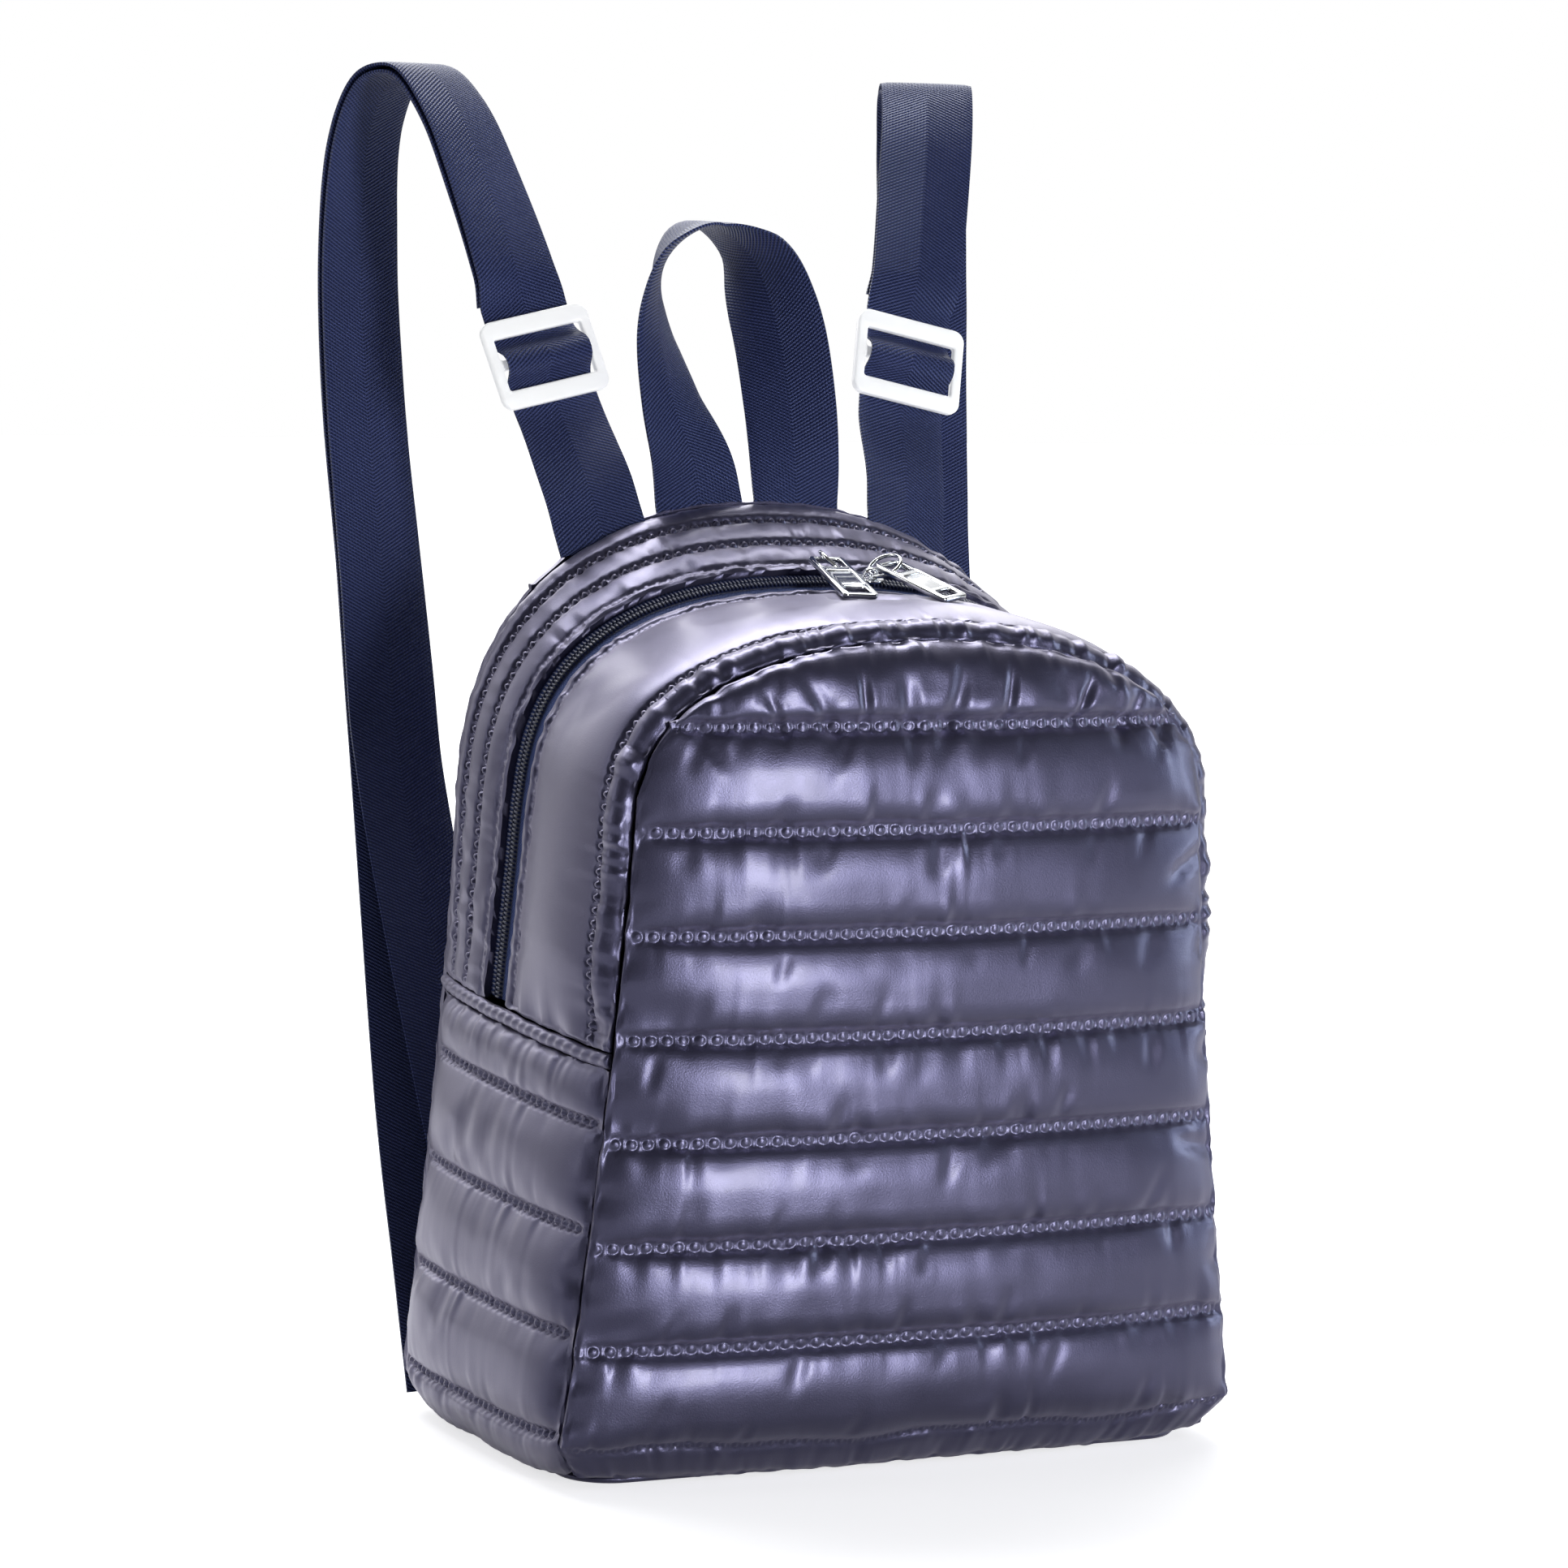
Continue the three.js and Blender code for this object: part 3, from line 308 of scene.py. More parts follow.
def tube_grid(loops: Array, closed: bool = False) -> tuple[Array, Array, Array]:
    """Skin over a row of closed loops of points.

    Args:
        loops: loops by points by three.
        closed: whether the last loop joins the first.

    Returns:
        Points, quads and the triangles of the two end caps.
    """
    count, n = loops.shape[:2]
    i = np.arange(count * n).reshape(count, n)
    nxt = np.roll(i, -1, axis=1)
    a, b = (i, np.roll(i, -1, axis=0)) if closed else (i[:-1], i[1:])
    an, bn = (nxt, np.roll(nxt, -1, axis=0)) if closed else (nxt[:-1], nxt[1:])
    quads = np.stack([a, an, bn, b], axis=-1).reshape(-1, 4)
    caps = np.zeros((0, 3), int)
    if not closed:
        fan = np.arange(1, n - 1)
        first = np.stack([fan * 0, fan + 1, fan], axis=-1)
        last = (count - 1) * n + np.stack([fan * 0, fan, fan + 1], axis=-1)
        caps = np.concatenate([first, last])
    return loops.reshape(-1, 3), quads, caps


def outward(obj: bpy.types.Object) -> bpy.types.Object:
    """Turns all faces of a closed body outwards."""
    bm = bmesh.new()
    bm.from_mesh(obj.data)
    bmesh.ops.recalc_face_normals(bm, faces=bm.faces)
    bm.to_mesh(obj.data)
    bm.free()
    return obj


def joined(name: str, parts: Sequence[bpy.types.Object]) -> bpy.types.Object:
    """Joins objects into the first and names it."""
    with bpy.context.temp_override(
        active_object=parts[0], object=parts[0], selected_objects=list(
            parts
        ), selected_editable_objects=list(parts)
    ):
        bpy.ops.object.join()
    parts[0].name = parts[0].data.name = name
    return parts[0]


def rounded_outline(length: float, width: float, radius: float, steps: int = 6) -> Array:
    """Closed outline of a rectangle with round corners, centred, counter-clockwise."""
    corners = []
    for sx, sy, start in ((1, 1, 0), (-1, 1, 90), (-1, -1, 180), (1, -1, 270)):
        centre = (sx * (length / 2 - radius), sy * (width / 2 - radius))
        for k in range(steps + 1):
            a = math.radians(start + 90 * k / steps)
            corners.append((centre[0] + radius * math.cos(a), centre[1] + radius * math.sin(a)))
    return np.array(corners)


def plate(
    name: str, outline: Array, holes: Sequence[Array], thickness: float, bevel: float
) -> bpy.types.Object:
    """Flat plate with holes and round edges, centred on its own plane.

    Args:
        name: name of the object.
        outline: outer outline in mm.
        holes: outlines of the holes in mm.
        thickness: full thickness in mm.
        bevel: radius of the edges in mm.

    Returns:
        The mesh object, with its size in mm still to be placed.
    """
    curve = bpy.data.curves.new(name, "CURVE")
    curve.dimensions = "2D"
    curve.fill_mode = "BOTH"
    for ring in (outline, *holes):
        spline = curve.splines.new("POLY")
        spline.points.add(len(ring) - 1)
        spline.points.foreach_set("co", np.column_stack([ring, ring * 0 + [[0, 1]]]).ravel())
        spline.use_cyclic_u = True
    curve.extrude = thickness / 2 - bevel
    curve.bevel_depth = bevel
    curve.bevel_resolution = 2
    curve.offset = -bevel
    holder = bpy.data.objects.new(name, curve)
    bpy.context.scene.collection.objects.link(holder)
    bpy.context.view_layer.update()
    graph = bpy.context.evaluated_depsgraph_get()
    mesh = bpy.data.meshes.new_from_object(holder.evaluated_get(graph))
    bpy.data.objects.remove(holder)
    bpy.data.curves.remove(curve)
    bm = bmesh.new()
    bm.from_mesh(mesh)
    bmesh.ops.remove_doubles(bm, verts=bm.verts, dist=0.01)
    bmesh.ops.recalc_face_normals(bm, faces=bm.faces)
    bm.to_mesh(mesh)
    bm.free()
    mesh.materials.clear()
    mesh.polygons.foreach_set("use_smooth", np.ones(len(mesh.polygons), bool))
    mesh.set_sharp_from_angle(angle=math.radians(50))
    obj = bpy.data.objects.new(name, mesh)
    bpy.context.scene.collection.objects.link(obj)
    return obj


def placed(obj: bpy.types.Object, origin: Array, x: Array, y: Array, z: Array) -> bpy.types.Object:
    """Moves a mesh in mm to an origin and three axes, and to metres."""
    matrix = Matrix([[x[k] * MM, y[k] * MM, z[k] * MM, origin[k] * MM] for k in range(3)] + [[0, 0, 0, 1]])
    obj.data.transform(matrix)
    return obj


def plate_frame(node: str) -> tuple[Array, Array, Array, Array]:
    """Centre and axes of a flat CAD plate: along its length, across it and out of its face."""
    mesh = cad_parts[node].data
    points = np.array([v.co for v in mesh.vertices]) / MM
    normals = np.array([p.normal for p in mesh.polygons])
    areas = np.array([p.area for p in mesh.polygons])
    facing = np.abs(normals @ normals.T) > 0.999
    out = normals[int(np.argmax(facing @ areas))]
    side = np.abs(normals @ out) < 0.02
    across = normals[int(np.argmax((facing @ (areas * side)) * side))]
    along = np.cross(across, out)
    axes = np.stack([along, across, out])
    local = points @ axes.T
    centre = ((local.min(0) + local.max(0)) / 2) @ axes
    return centre, along, across, out


def under_tabs(points: Array) -> Array:
    """Presses cloth down where a pull tab lies on it.

    Args:
        points: grid of cloth points in mm.

    Returns:
        The points, kept just under both tabs.
    """
    points = points.copy()
    for side in Side:
        centre, along, across, out = plate_frame(f"pull_tab_{side.word}")
        out = out if out[2] > 0 else -out
        local = points - centre
        x, y, z = np.abs(local @ along), np.abs(local @ across), local @ out
        off = np.hypot(np.maximum(x - 15.5, 0), np.maximum(y - 6.5, 0))
        limit = -1.35 + 0.05 * off + 0.02 * off**2
        over = np.where((off < 9) & (np.abs(z) < 9), np.maximum(z - limit, 0), 0)
        points -= over[..., None] * out
    return points


# The form of the bag


@dataclass(frozen=True)
class BagForm:
    """Seam outline of the front or the back of the bag."""

    top: float
    shoulder: float
    shoulder_half: float
    base_half: float
    flare: float = 1.3
    arch_x: float = 0.909
    arch_z: float = 0.8

    def half_width(self, z: Array) -> Array:
        """Half width of the outline at a height."""
        z = np.asarray(z, float)
        low = np.clip(1 - z / self.shoulder, 0, 1) ** self.flare
        low = self.shoulder_half + (self.base_half - self.shoulder_half) * low - tuck(z)
        share = np.clip((z - self.shoulder) / (self.top - self.shoulder), 0, 1)
        high = self.shoulder_half * np.cos(np.arcsin(share ** (1 / self.arch_z))) ** self.arch_x
        return np.where(z <= self.shoulder, low, high) - turn_in(z)

    def top_of(self, x: Array) -> Array:
        """Height of the arch over a place across the bag."""
        t = np.clip(np.abs(x) / self.shoulder_half, 0, 1) ** (1 / self.arch_x)
        return self.shoulder + (self.top - self.shoulder) * np.sqrt(1 - t * t) ** self.arch_z

    def outline(self, z0: float) -> Array:
        """Points x, z of the outline from a height to the top, with their share of the length."""
        low = np.linspace(z0, self.shoulder, 61)
        a = np.linspace(0, math.pi / 2, 161)[1:]
        x = np.append(self.half_width(low), self.shoulder_half * np.maximum(np.cos(a), 0) ** self.arch_x)
        z = np.append(low, self.shoulder + (self.top - self.shoulder) * np.sin(a) ** self.arch_z)
        x[-1] = 0
        length = np.append(0, np.cumsum(np.hypot(np.diff(x), np.diff(z))))
        return np.stack([length / length[-1], x, z])


TUCK_HEIGHT, TUCK_DEPTH = 12.0, 4.0
TURN_HEIGHT, TURN_IN = 11, 3.2


def turn_in(z: Array) -> Array:
    """How far the skin turns in at the rim of the base."""
    return TURN_IN * (1 - smooth(FLOOR_EDGE, FLOOR_EDGE + TURN_HEIGHT, z))


def tuck(z: Array) -> Array:
    """How far the panels turn in just above the base."""
    return TUCK_DEPTH * np.clip(1 - np.asarray(z, float) / TUCK_HEIGHT, 0, 1) ** 2 + turn_in(z)


DEPTH = 130.0
FRONT = BagForm(271, 210, 104, 125.5)
BACK = BagForm(307, 200, 109, 124)
CLOTH, CREASE, GAP = 2.2, 0.9, 0.3
FLOOR_EDGE = 3.3
FRONT_EDGE, BACK_EDGE = -DEPTH / 2 + CLOTH + GAP, DEPTH / 2 - CLOTH - GAP
QUILT_LINES = [12.5 + 33 * k for k in range(9)]
SIDE_SWELL, BINDING_HEIGHT, BINDING_RISE = 4.5, 137.5, 8.0
GUSSET_START = 3.1
FRONT_ARCH = FRONT.outline(BINDING_HEIGHT + GUSSET_START)
BACK_ARCH = BACK.outline(BINDING_HEIGHT + BINDING_RISE + GUSSET_START)
STRIP_END, ZIP_GAP = 77.0, 11.0
ZIP_CENTRE = STRIP_END + ZIP_GAP / 2


def bottom_drop(z: Array) -> Array:
    """How far the lowest cloth hangs over the rim of the base."""
    return 2.3 * (1 - smooth(FLOOR_EDGE, FLOOR_EDGE + 9, z))


def corner_lift(a: Array, z: Array) -> Array:
    """How far the lowest cloth rises at the corners, for a from -1 to 1 along a panel."""
    return 4.0 * np.abs(a) ** 5 * (1 - smooth(FLOOR_EDGE, FLOOR_EDGE + 24, z))


def gusset_base(u: Array, d: Array) -> Array:
    """Skin of the gusset.

    Args:
        u: from -1 at the left binding over the top to 1 at the right one.
        d: distance from the front seam.

    Returns:
        Points in mm.
    """
    u, d = np.broadcast_arrays(np.asarray(u, float), np.asarray(d, float))
    share, side, t = 1 - np.abs(u), np.where(u < 0, -1.0, 1.0), d / DEPTH
    g = np.clip(t, 0, None) ** (1 + 1.1 * smooth(0.25, 1, share))
    fx, fz = np.interp(share, FRONT_ARCH[0], FRONT_ARCH[1]), np.interp(share, FRONT_ARCH[0], FRONT_ARCH[2])
    bx, bz = np.interp(share, BACK_ARCH[0], BACK_ARCH[1]), np.interp(share, BACK_ARCH[0], BACK_ARCH[2])
    swell = SIDE_SWELL * (1 - smooth(0, 0.7, share)) * (1 - np.abs(2 * t - 1) ** 3)
    return np.stack([side * (fx + (bx - fx) * g + swell), -DEPTH / 2 + d, fz + (bz - fz) * g], axis=-1)


def gusset_frame(u: Array, d: Array) -> tuple[Array, Array, Array, Array]:
    """Point, direction along the zip, direction to the back and outward direction of the gusset."""
    p = gusset_base(u, d)
    along = unit(gusset_base(u + 2e-3, d) - gusset_base(u - 2e-3, d))
    deep = unit(gusset_base(u, d + 0.5) - gusset_base(u, d - 0.5))
    return p, along, deep, unit(np.cross(along, deep))


# Padded cloth

RIM_POWER = 10
LIFT_CAP = 1.8
RING_SHARE = 1.2


@dataclass
class ClothSheet:
    """One sheet that waits for the cloth simulation."""

    points: Array
    pinned: Array
    growth: Array
    pressure: float
    result: Array | None = None


class ClothTable:
    """Puffs all sheets in one run, so that their simulations share the frames."""

    UNIT = 100.0

    def __init__(self, frames: int = 22) -> None:
        """Starts an empty table with its number of simulated frames."""
        self.frames = frames
        self.sheets: list[ClothSheet] = []

    def lay(self, points: Array, pinned: Array, growth: Array, pressure: float) -> ClothSheet:
        """Lays a sheet on the table.

        Args:
            points: rows by columns of points in mm.
            pinned: where the cloth is held.
            growth: share from 0 to 1 of the spare cloth at each point.
            pressure: how hard the filling pushes.

        Returns:
            The sheet, whose result is filled by run.
        """
        sheet = ClothSheet(points, pinned, growth, pressure)
        self.sheets.append(sheet)
        return sheet

    def _prepare(self, sheet: ClothSheet, number: int) -> bpy.types.Object:
        """Makes the simulated object of a sheet."""
        rows, cols = sheet.points.shape[:2]
        obj = mesh_object(
            f"cloth_{number}", sheet.points.reshape(-1, 3) / MM / self.UNIT, grid_quads(rows, cols)
        )
        pin = obj.vertex_groups.new(name="held")
        pin.add([int(i) for i in np.flatnonzero(sheet.pinned.ravel())], 1.0, "REPLACE")
        spare = obj.vertex_groups.new(name="spare")
        for i, weight in enumerate(np.clip(1 - sheet.growth.ravel(), 0, 1)):
            spare.add([i], float(weight), "REPLACE")
        cloth = obj.modifiers.new("puff", "CLOTH")
        s = cloth.settings
        s.quality = 6
        s.mass = 0.15
        s.tension_stiffness = s.compression_stiffness = 15
        s.shear_stiffness = 5
        s.bending_stiffness = 2.5
        s.use_pressure = True
        s.uniform_pressure_force = sheet.pressure
        s.effector_weights.gravity = 0
        s.vertex_group_mass = "held"
        s.vertex_group_shrink = "spare"
        s.shrink_min = -0.16
        s.shrink_max = 0.0
        cloth.collision_settings.use_collision = False
        cloth.point_cache.frame_end = self.frames
        return obj

    def run(self) -> None:
        """Steps the frames and keeps the puffed points of every sheet."""
        objects = [self._prepare(sheet, k) for k, sheet in enumerate(self.sheets)]
        scene = bpy.context.scene
        for number in range(1, self.frames + 1):
            scene.frame_set(number)
        graph = bpy.context.evaluated_depsgraph_get()
        for sheet, obj in zip(self.sheets, objects):
            mesh = obj.evaluated_get(graph).data
            flat = np.empty(len(mesh.vertices) * 3)
            mesh.vertices.foreach_get("co", flat)
            sheet.result = flat.reshape(sheet.points.shape) * self.UNIT
        scene.frame_set(1)
        for obj in objects:
            mesh = obj.data
            bpy.data.objects.remove(obj)
            bpy.data.meshes.remove(mesh)


@dataclass
class Channel:
    """One filled channel between two lines of a panel."""

    start: float
    end: float
    rise: float
    rows: int
    start_line: Line
    end_line: Line
    spare: float = 0.35


@dataclass
class Dent:
    """A fold pressed into a panel: place across, place up, direction, length, width and depth."""

    x: float
    z: float
    turn: float
    length: float
    width: float
    depth: float


@dataclass
class DotStyle:
    """Round weld dots along a line."""

    pitch: float
    radius: float
    height: float
    band: float


DOTS = {
    Line.DOTS: DotStyle(5.4, 1.4, 0.3, 1.5),
    Line.SMALL_DOTS: DotStyle(4.1, 1.1, 0.8, 0.9),
    Line.STITCH: DotStyle(4.2, 0.9, 0.2, 0.6),
}


@dataclass
class Panel:
    """A padded panel of the bag: carrier surface, channels, weld dots, puckers and dents."""

    name: str
    node: str
    carrier: Callable[[Array, Array], Array]
    channels: list[Channel]
    span: tuple[float, float]
    fine: float
    coarse_columns: int
    thickness: float = CLOTH
    pressure: float = 6.0
    middle: float = 2.0
    pucker: float = 1.0
    gather: float = 0.9
    seed: int = 1
    stride: int = 8
    fill: float = 0.7
    limits: tuple[float, float] | None = None
    dents: list[Dent] = field(default_factory=list)
    pinch: Callable[[Array], Array] | None = None
    soften: int = 2
    wander: float = 0.2
    reach: float = 5.5
    last_share: float = 1.0
    sag: float = 0.0
    sheet: ClothSheet | None = None

    def _rows(self) -> tuple[Array, list[int]]:
        """Coarse row places and the numbers of the rows that lie on lines."""
        rows, marks = [self.channels[0].start], [0]
        for c in self.channels:
            rows.extend(np.linspace(c.start, c.end, c.rows + 1)[1:])
            marks.append(len(rows) - 1)
        return np.array(rows), marks

    def _grid(self, across: Array, up: Array) -> tuple[Array, Array, Array, Array]:
        """Carrier points, outward normals and distances along both directions."""
        b, a = np.meshgrid(up, across, indexing="ij")
        points = self.carrier(a, b)
        along, over = np.gradient(points, axis=1), np.gradient(points, axis=0)
        normal = unit(np.cross(along, over))
        s = np.zeros(a.shape)
        s[:, 1:] = np.cumsum(np.linalg.norm(np.diff(points, axis=1), axis=-1), axis=1)
        length = np.zeros(a.shape)
        length[1:] = np.cumsum(np.linalg.norm(np.diff(points, axis=0), axis=-1), axis=0)
        return points, normal, s, length

    def _profile(self, up: Array) -> Array:
        """Rise of the filled channels at row places."""
        out = np.zeros(up.shape)
        for c in self.channels:
            inside = (up >= c.start) & (up <= c.end)
            share = np.clip((up - c.start) / (c.end - c.start), 0, 1)
            out = np.where(inside, c.rise * channel(share), out)
        return out

    def _fullness(self, up: Array) -> Array:
        """How the filling settles: each channel is full low down and slopes more above."""
        out = np.ones(up.shape)
        for c in self.channels:
            share = np.clip((up - c.start) / (c.end - c.start), 0, 1)
            low = 1 - (1 - np.minimum(share / 0.3, 1)) ** 2
            high = 1 - np.maximum((share - 0.45) / 0.55, 0) ** 2.2
            settled = low * high / np.maximum(4 * share * (1 - share), 0.05)
            out = np.where((up >= c.start) & (up <= c.end), settled, out)
        return 1 + self.sag * (out - 1)

    def lay(self, table: ClothTable) -> None:
        """Lays the coarse cloth of the panel on the simulation table.

        Args:
            table: the table that puffs all sheets together.
        """
        up, marks = self._rows()
        across = np.linspace(*self.span, self.coarse_columns)
        points, normal, s, length = self._grid(across, up)
        width = s[:, -1:]
        edge = 1 - np.abs(2 * s / width - 1) ** RIM_POWER
        start = points + normal * (0.95 * self._profile(up)[:, None] * edge)[..., None]
        pinned = np.zeros(s.shape, bool)
        pinned[marks] = True
        pinned[:, 0] = pinned[:, -1] = True
        over = np.linalg.norm(np.diff(points, axis=0), axis=-1)
        small = np.minimum(np.vstack([over, over[-1:]]), np.vstack([over[:1], over])) < 0.9
        pinned |= small
        spare = np.zeros(up.shape)
        for c in self.channels:
            spare[(up >= c.start) & (up <= c.end)] = c.spare
        growth = spare[:, None] * (1 + 0.9 * cloud(s, length * 1.6, 60, self.seed))
        self.sheet = table.lay(start, pinned, growth, self.pressure)

    def _lift(self, across: Array, up: Array) -> Array:
        """Displacement of the fine grid from its carrier, simulated or, without that, worked out."""
        coarse_up, marks = self._rows()
        coarse_across = np.linspace(*self.span, self.coarse_columns)
        points, normal, s, _ = self._grid(coarse_across, coarse_up)
        if self.sheet is not None and self.sheet.result is not None:
            moved = self.sheet.result - points
            size = np.linalg.norm(moved, axis=-1, keepdims=True)
            cap = LIFT_CAP * max(c.rise for c in self.channels)
            moved *= np.minimum(1, cap / np.maximum(size, 1e-6))
        else:
            edge = 1 - np.abs(2 * s / s[:, -1:] - 1) ** RIM_POWER
            moved = normal * (1.3 * self._profile(coarse_up)[:, None] * edge)[..., None]
        for _ in range(self.soften):
            moved[:, 1:-1] = (moved[:, :-2] + 2 * moved[:, 1:-1] + moved[:, 2:]) / 4
        rows = spread(moved, coarse_up, up, marks) * self._fullness(up)[:, None, None]
        return np.swapaxes(spread(np.swapaxes(rows, 0, 1), coarse_across, across, [0]), 0, 1)

    def _relief(self, points: Array, s: Array, length: Array, marks: list[int]) -> tuple[Array, Array]:
        """Fine relief of the lines: dots, puckers and gathers.

        Args:
            points: carrier points of the fine grid.
            s: distance along each row.
            length: distance along each column.
            marks: row numbers that lie on lines.

        Returns:
            How much of the channel lift stays, and the added height in mm.
        """
        keep, added = np.ones(s.shape), np.zeros(s.shape)
        middle = s - s[:, -1:] / 2
        rim = np.minimum(s, s[:, -1:] - s)
        lines = [self.channels[0].start_line, *(c.end_line for c in self.channels)]
        for k, (row, line) in enumerate(zip(marks, lines)):
            away = length - length[row]
            near = np.abs(away)
            if line is Line.EDGE:
                inside = smooth(0.2, 1.6, near) * np.exp(-near / self.reach) * (1 - smooth(8, 11, near))
                wave = ripple(middle[row], 5.0, self.seed * 31 + k) * (
                    0.6 + 0.4 * ripple(middle[row], 23, self.seed + k)
                )
                wave = wave + 0.45 * ripple(middle[row], 2.8, self.seed * 7 + k)
                share = self.last_share if k == len(lines) - 1 else 1.0
                added += self.gather * share * inside * wave[None, :]
                continue
            style = DOTS[line]
            keep *= smooth(style.band * 0.45, style.band * 2.6, near)
            phase = (middle / style.pitch + 0.5) % 1 - 0.5
            r = np.hypot(phase * style.pitch, away)
            dot = style.height * np.exp(-((r / style.radius) ** 4))
            offset = (r - style.radius * 1.35) / (0.34 * style.radius)
            ring = -RING_SHARE * style.height * np.exp(-(offset**2))
            added += (dot + ring) * smooth(1.0, 3.5, rim)
            for sign in (-1, 1):
                wave = ripple(middle[row], style.pitch * 0.95, self.seed * 57 + 2 * k + sign)
                slow = 0.55 + 0.6 * ripple(middle[row], 26, self.seed * 13 + 5 * k + sign)
                beside = smooth(
                    style.band * 0.5, style.band * 1.9, near
                ) * np.exp(-np.maximum(near - 2.2, 0) / 5.5)
                added += np.where(np.sign(away) == sign, self.pucker * beside * wave * np.abs(slow), 0)
        beside = smooth(0.3, 1.8, rim) * np.exp(-rim / 5.0)
        left, right = ripple(length[:, 0], 5.5, self.seed + 401), ripple(length[:, -1], 5.5, self.seed + 402)
        wave = np.where(middle < 0, left[:, None], right[:, None])
        added += self.gather * 1.3 * beside * wave
        for dent in self.dents:
            c, n = math.cos(math.radians(dent.turn)), math.sin(math.radians(dent.turn))
            dx, dz = points[..., 0] - dent.x, points[..., 2] - dent.z
            run, off = (dx * c + dz * n) / dent.length, (-dx * n + dz * c) / dent.width
            groove = np.exp(-(off**2)) * (1 - 0.35 * np.exp(-(((np.abs(off) - 1.5) / 0.5) ** 2)))
            added -= dent.depth * groove * np.exp(-(np.abs(run) ** 3))
        return keep, added

    def _sway(self, points: Array, s: Array, length: Array) -> Array:
        """Lets the seamed edges wander a little within the skin.

        Args:
            points: carrier points of the fine grid.
            s: distance along each row.
            length: distance along each column.

        Returns:
            The shifts in mm.
        """
        along, over = unit(np.gradient(points, axis=1)), unit(np.gradient(points, axis=0))
        rim = np.minimum(s, s[:, -1:] - s)
        lip = np.minimum(length, length[-1:] - length)
        calm = np.where(length > length[-1:] / 2, self.last_share, 1.0)
        sideways = np.sin(length / 2.3 + self.seed) + 0.8 * np.sin(
            length / 1.1 + 2 * self.seed
        ) * np.sin(length / 9)
        upwards = np.sin(s / 2.1 + self.seed) + 0.8 * np.sin(s / 1.2 + 3 * self.seed) * np.sin(s / 11)
        sideways, upwards = sideways * np.exp(-rim / 2.5), upwards * calm * np.exp(-lip / 2.5)
        return self.wander * (along * sideways[..., None] + over * upwards[..., None])

    def fine_grid(self) -> tuple[Array, Array, list[int]]:
        """Fine column and row places and the row numbers on lines."""
        total = self._grid(
            np.linspace(*self.span, 80), np.array([self.channels[0].start, self.channels[0].end])
        )[2]
        count = int(round(float(total[0, -1]) / self.fine))
        across = np.linspace(*self.span, count + 1)
        rows, marks = [np.array([self.channels[0].start])], [0]
        for c in self.channels:
            rows.append(spaced(c.start, c.end, self.fine, self.middle, 3.6)[1:])
            marks.append(marks[-1] + len(rows[-1]))
        return across, np.concatenate(rows), marks

    def build(self) -> bpy.types.Object:
        """Builds the fine closed panel.

        Returns:
            The padded object.
        """
        across, up, marks = self.fine_grid()
        points, normal, s, length = self._grid(across, up)
        lift = self._lift(across, up)
        keep, added = self._relief(points, s, length, marks)
        points = points + self._sway(points, s, length)
        outer = points + lift * keep[..., None] + normal * added[..., None]
        inner = points + 0.25 * lift * keep[..., None] - normal * self.thickness
        if self.pinch is not None:
            outer, inner = self.pinch(outer), self.pinch(inner)
        if self.limits is not None:
            for skin in (outer, inner):
                skin[..., 1] = np.clip(skin[..., 1], *self.limits)
        uv = np.stack([s - s[:, -1:] / 2, length], axis=-1)
        obj = outward(shell(self.name, outer, inner, self.stride, uv))
        LOG.info("%s: %d faces", self.name, len(obj.data.polygons))
        return obj


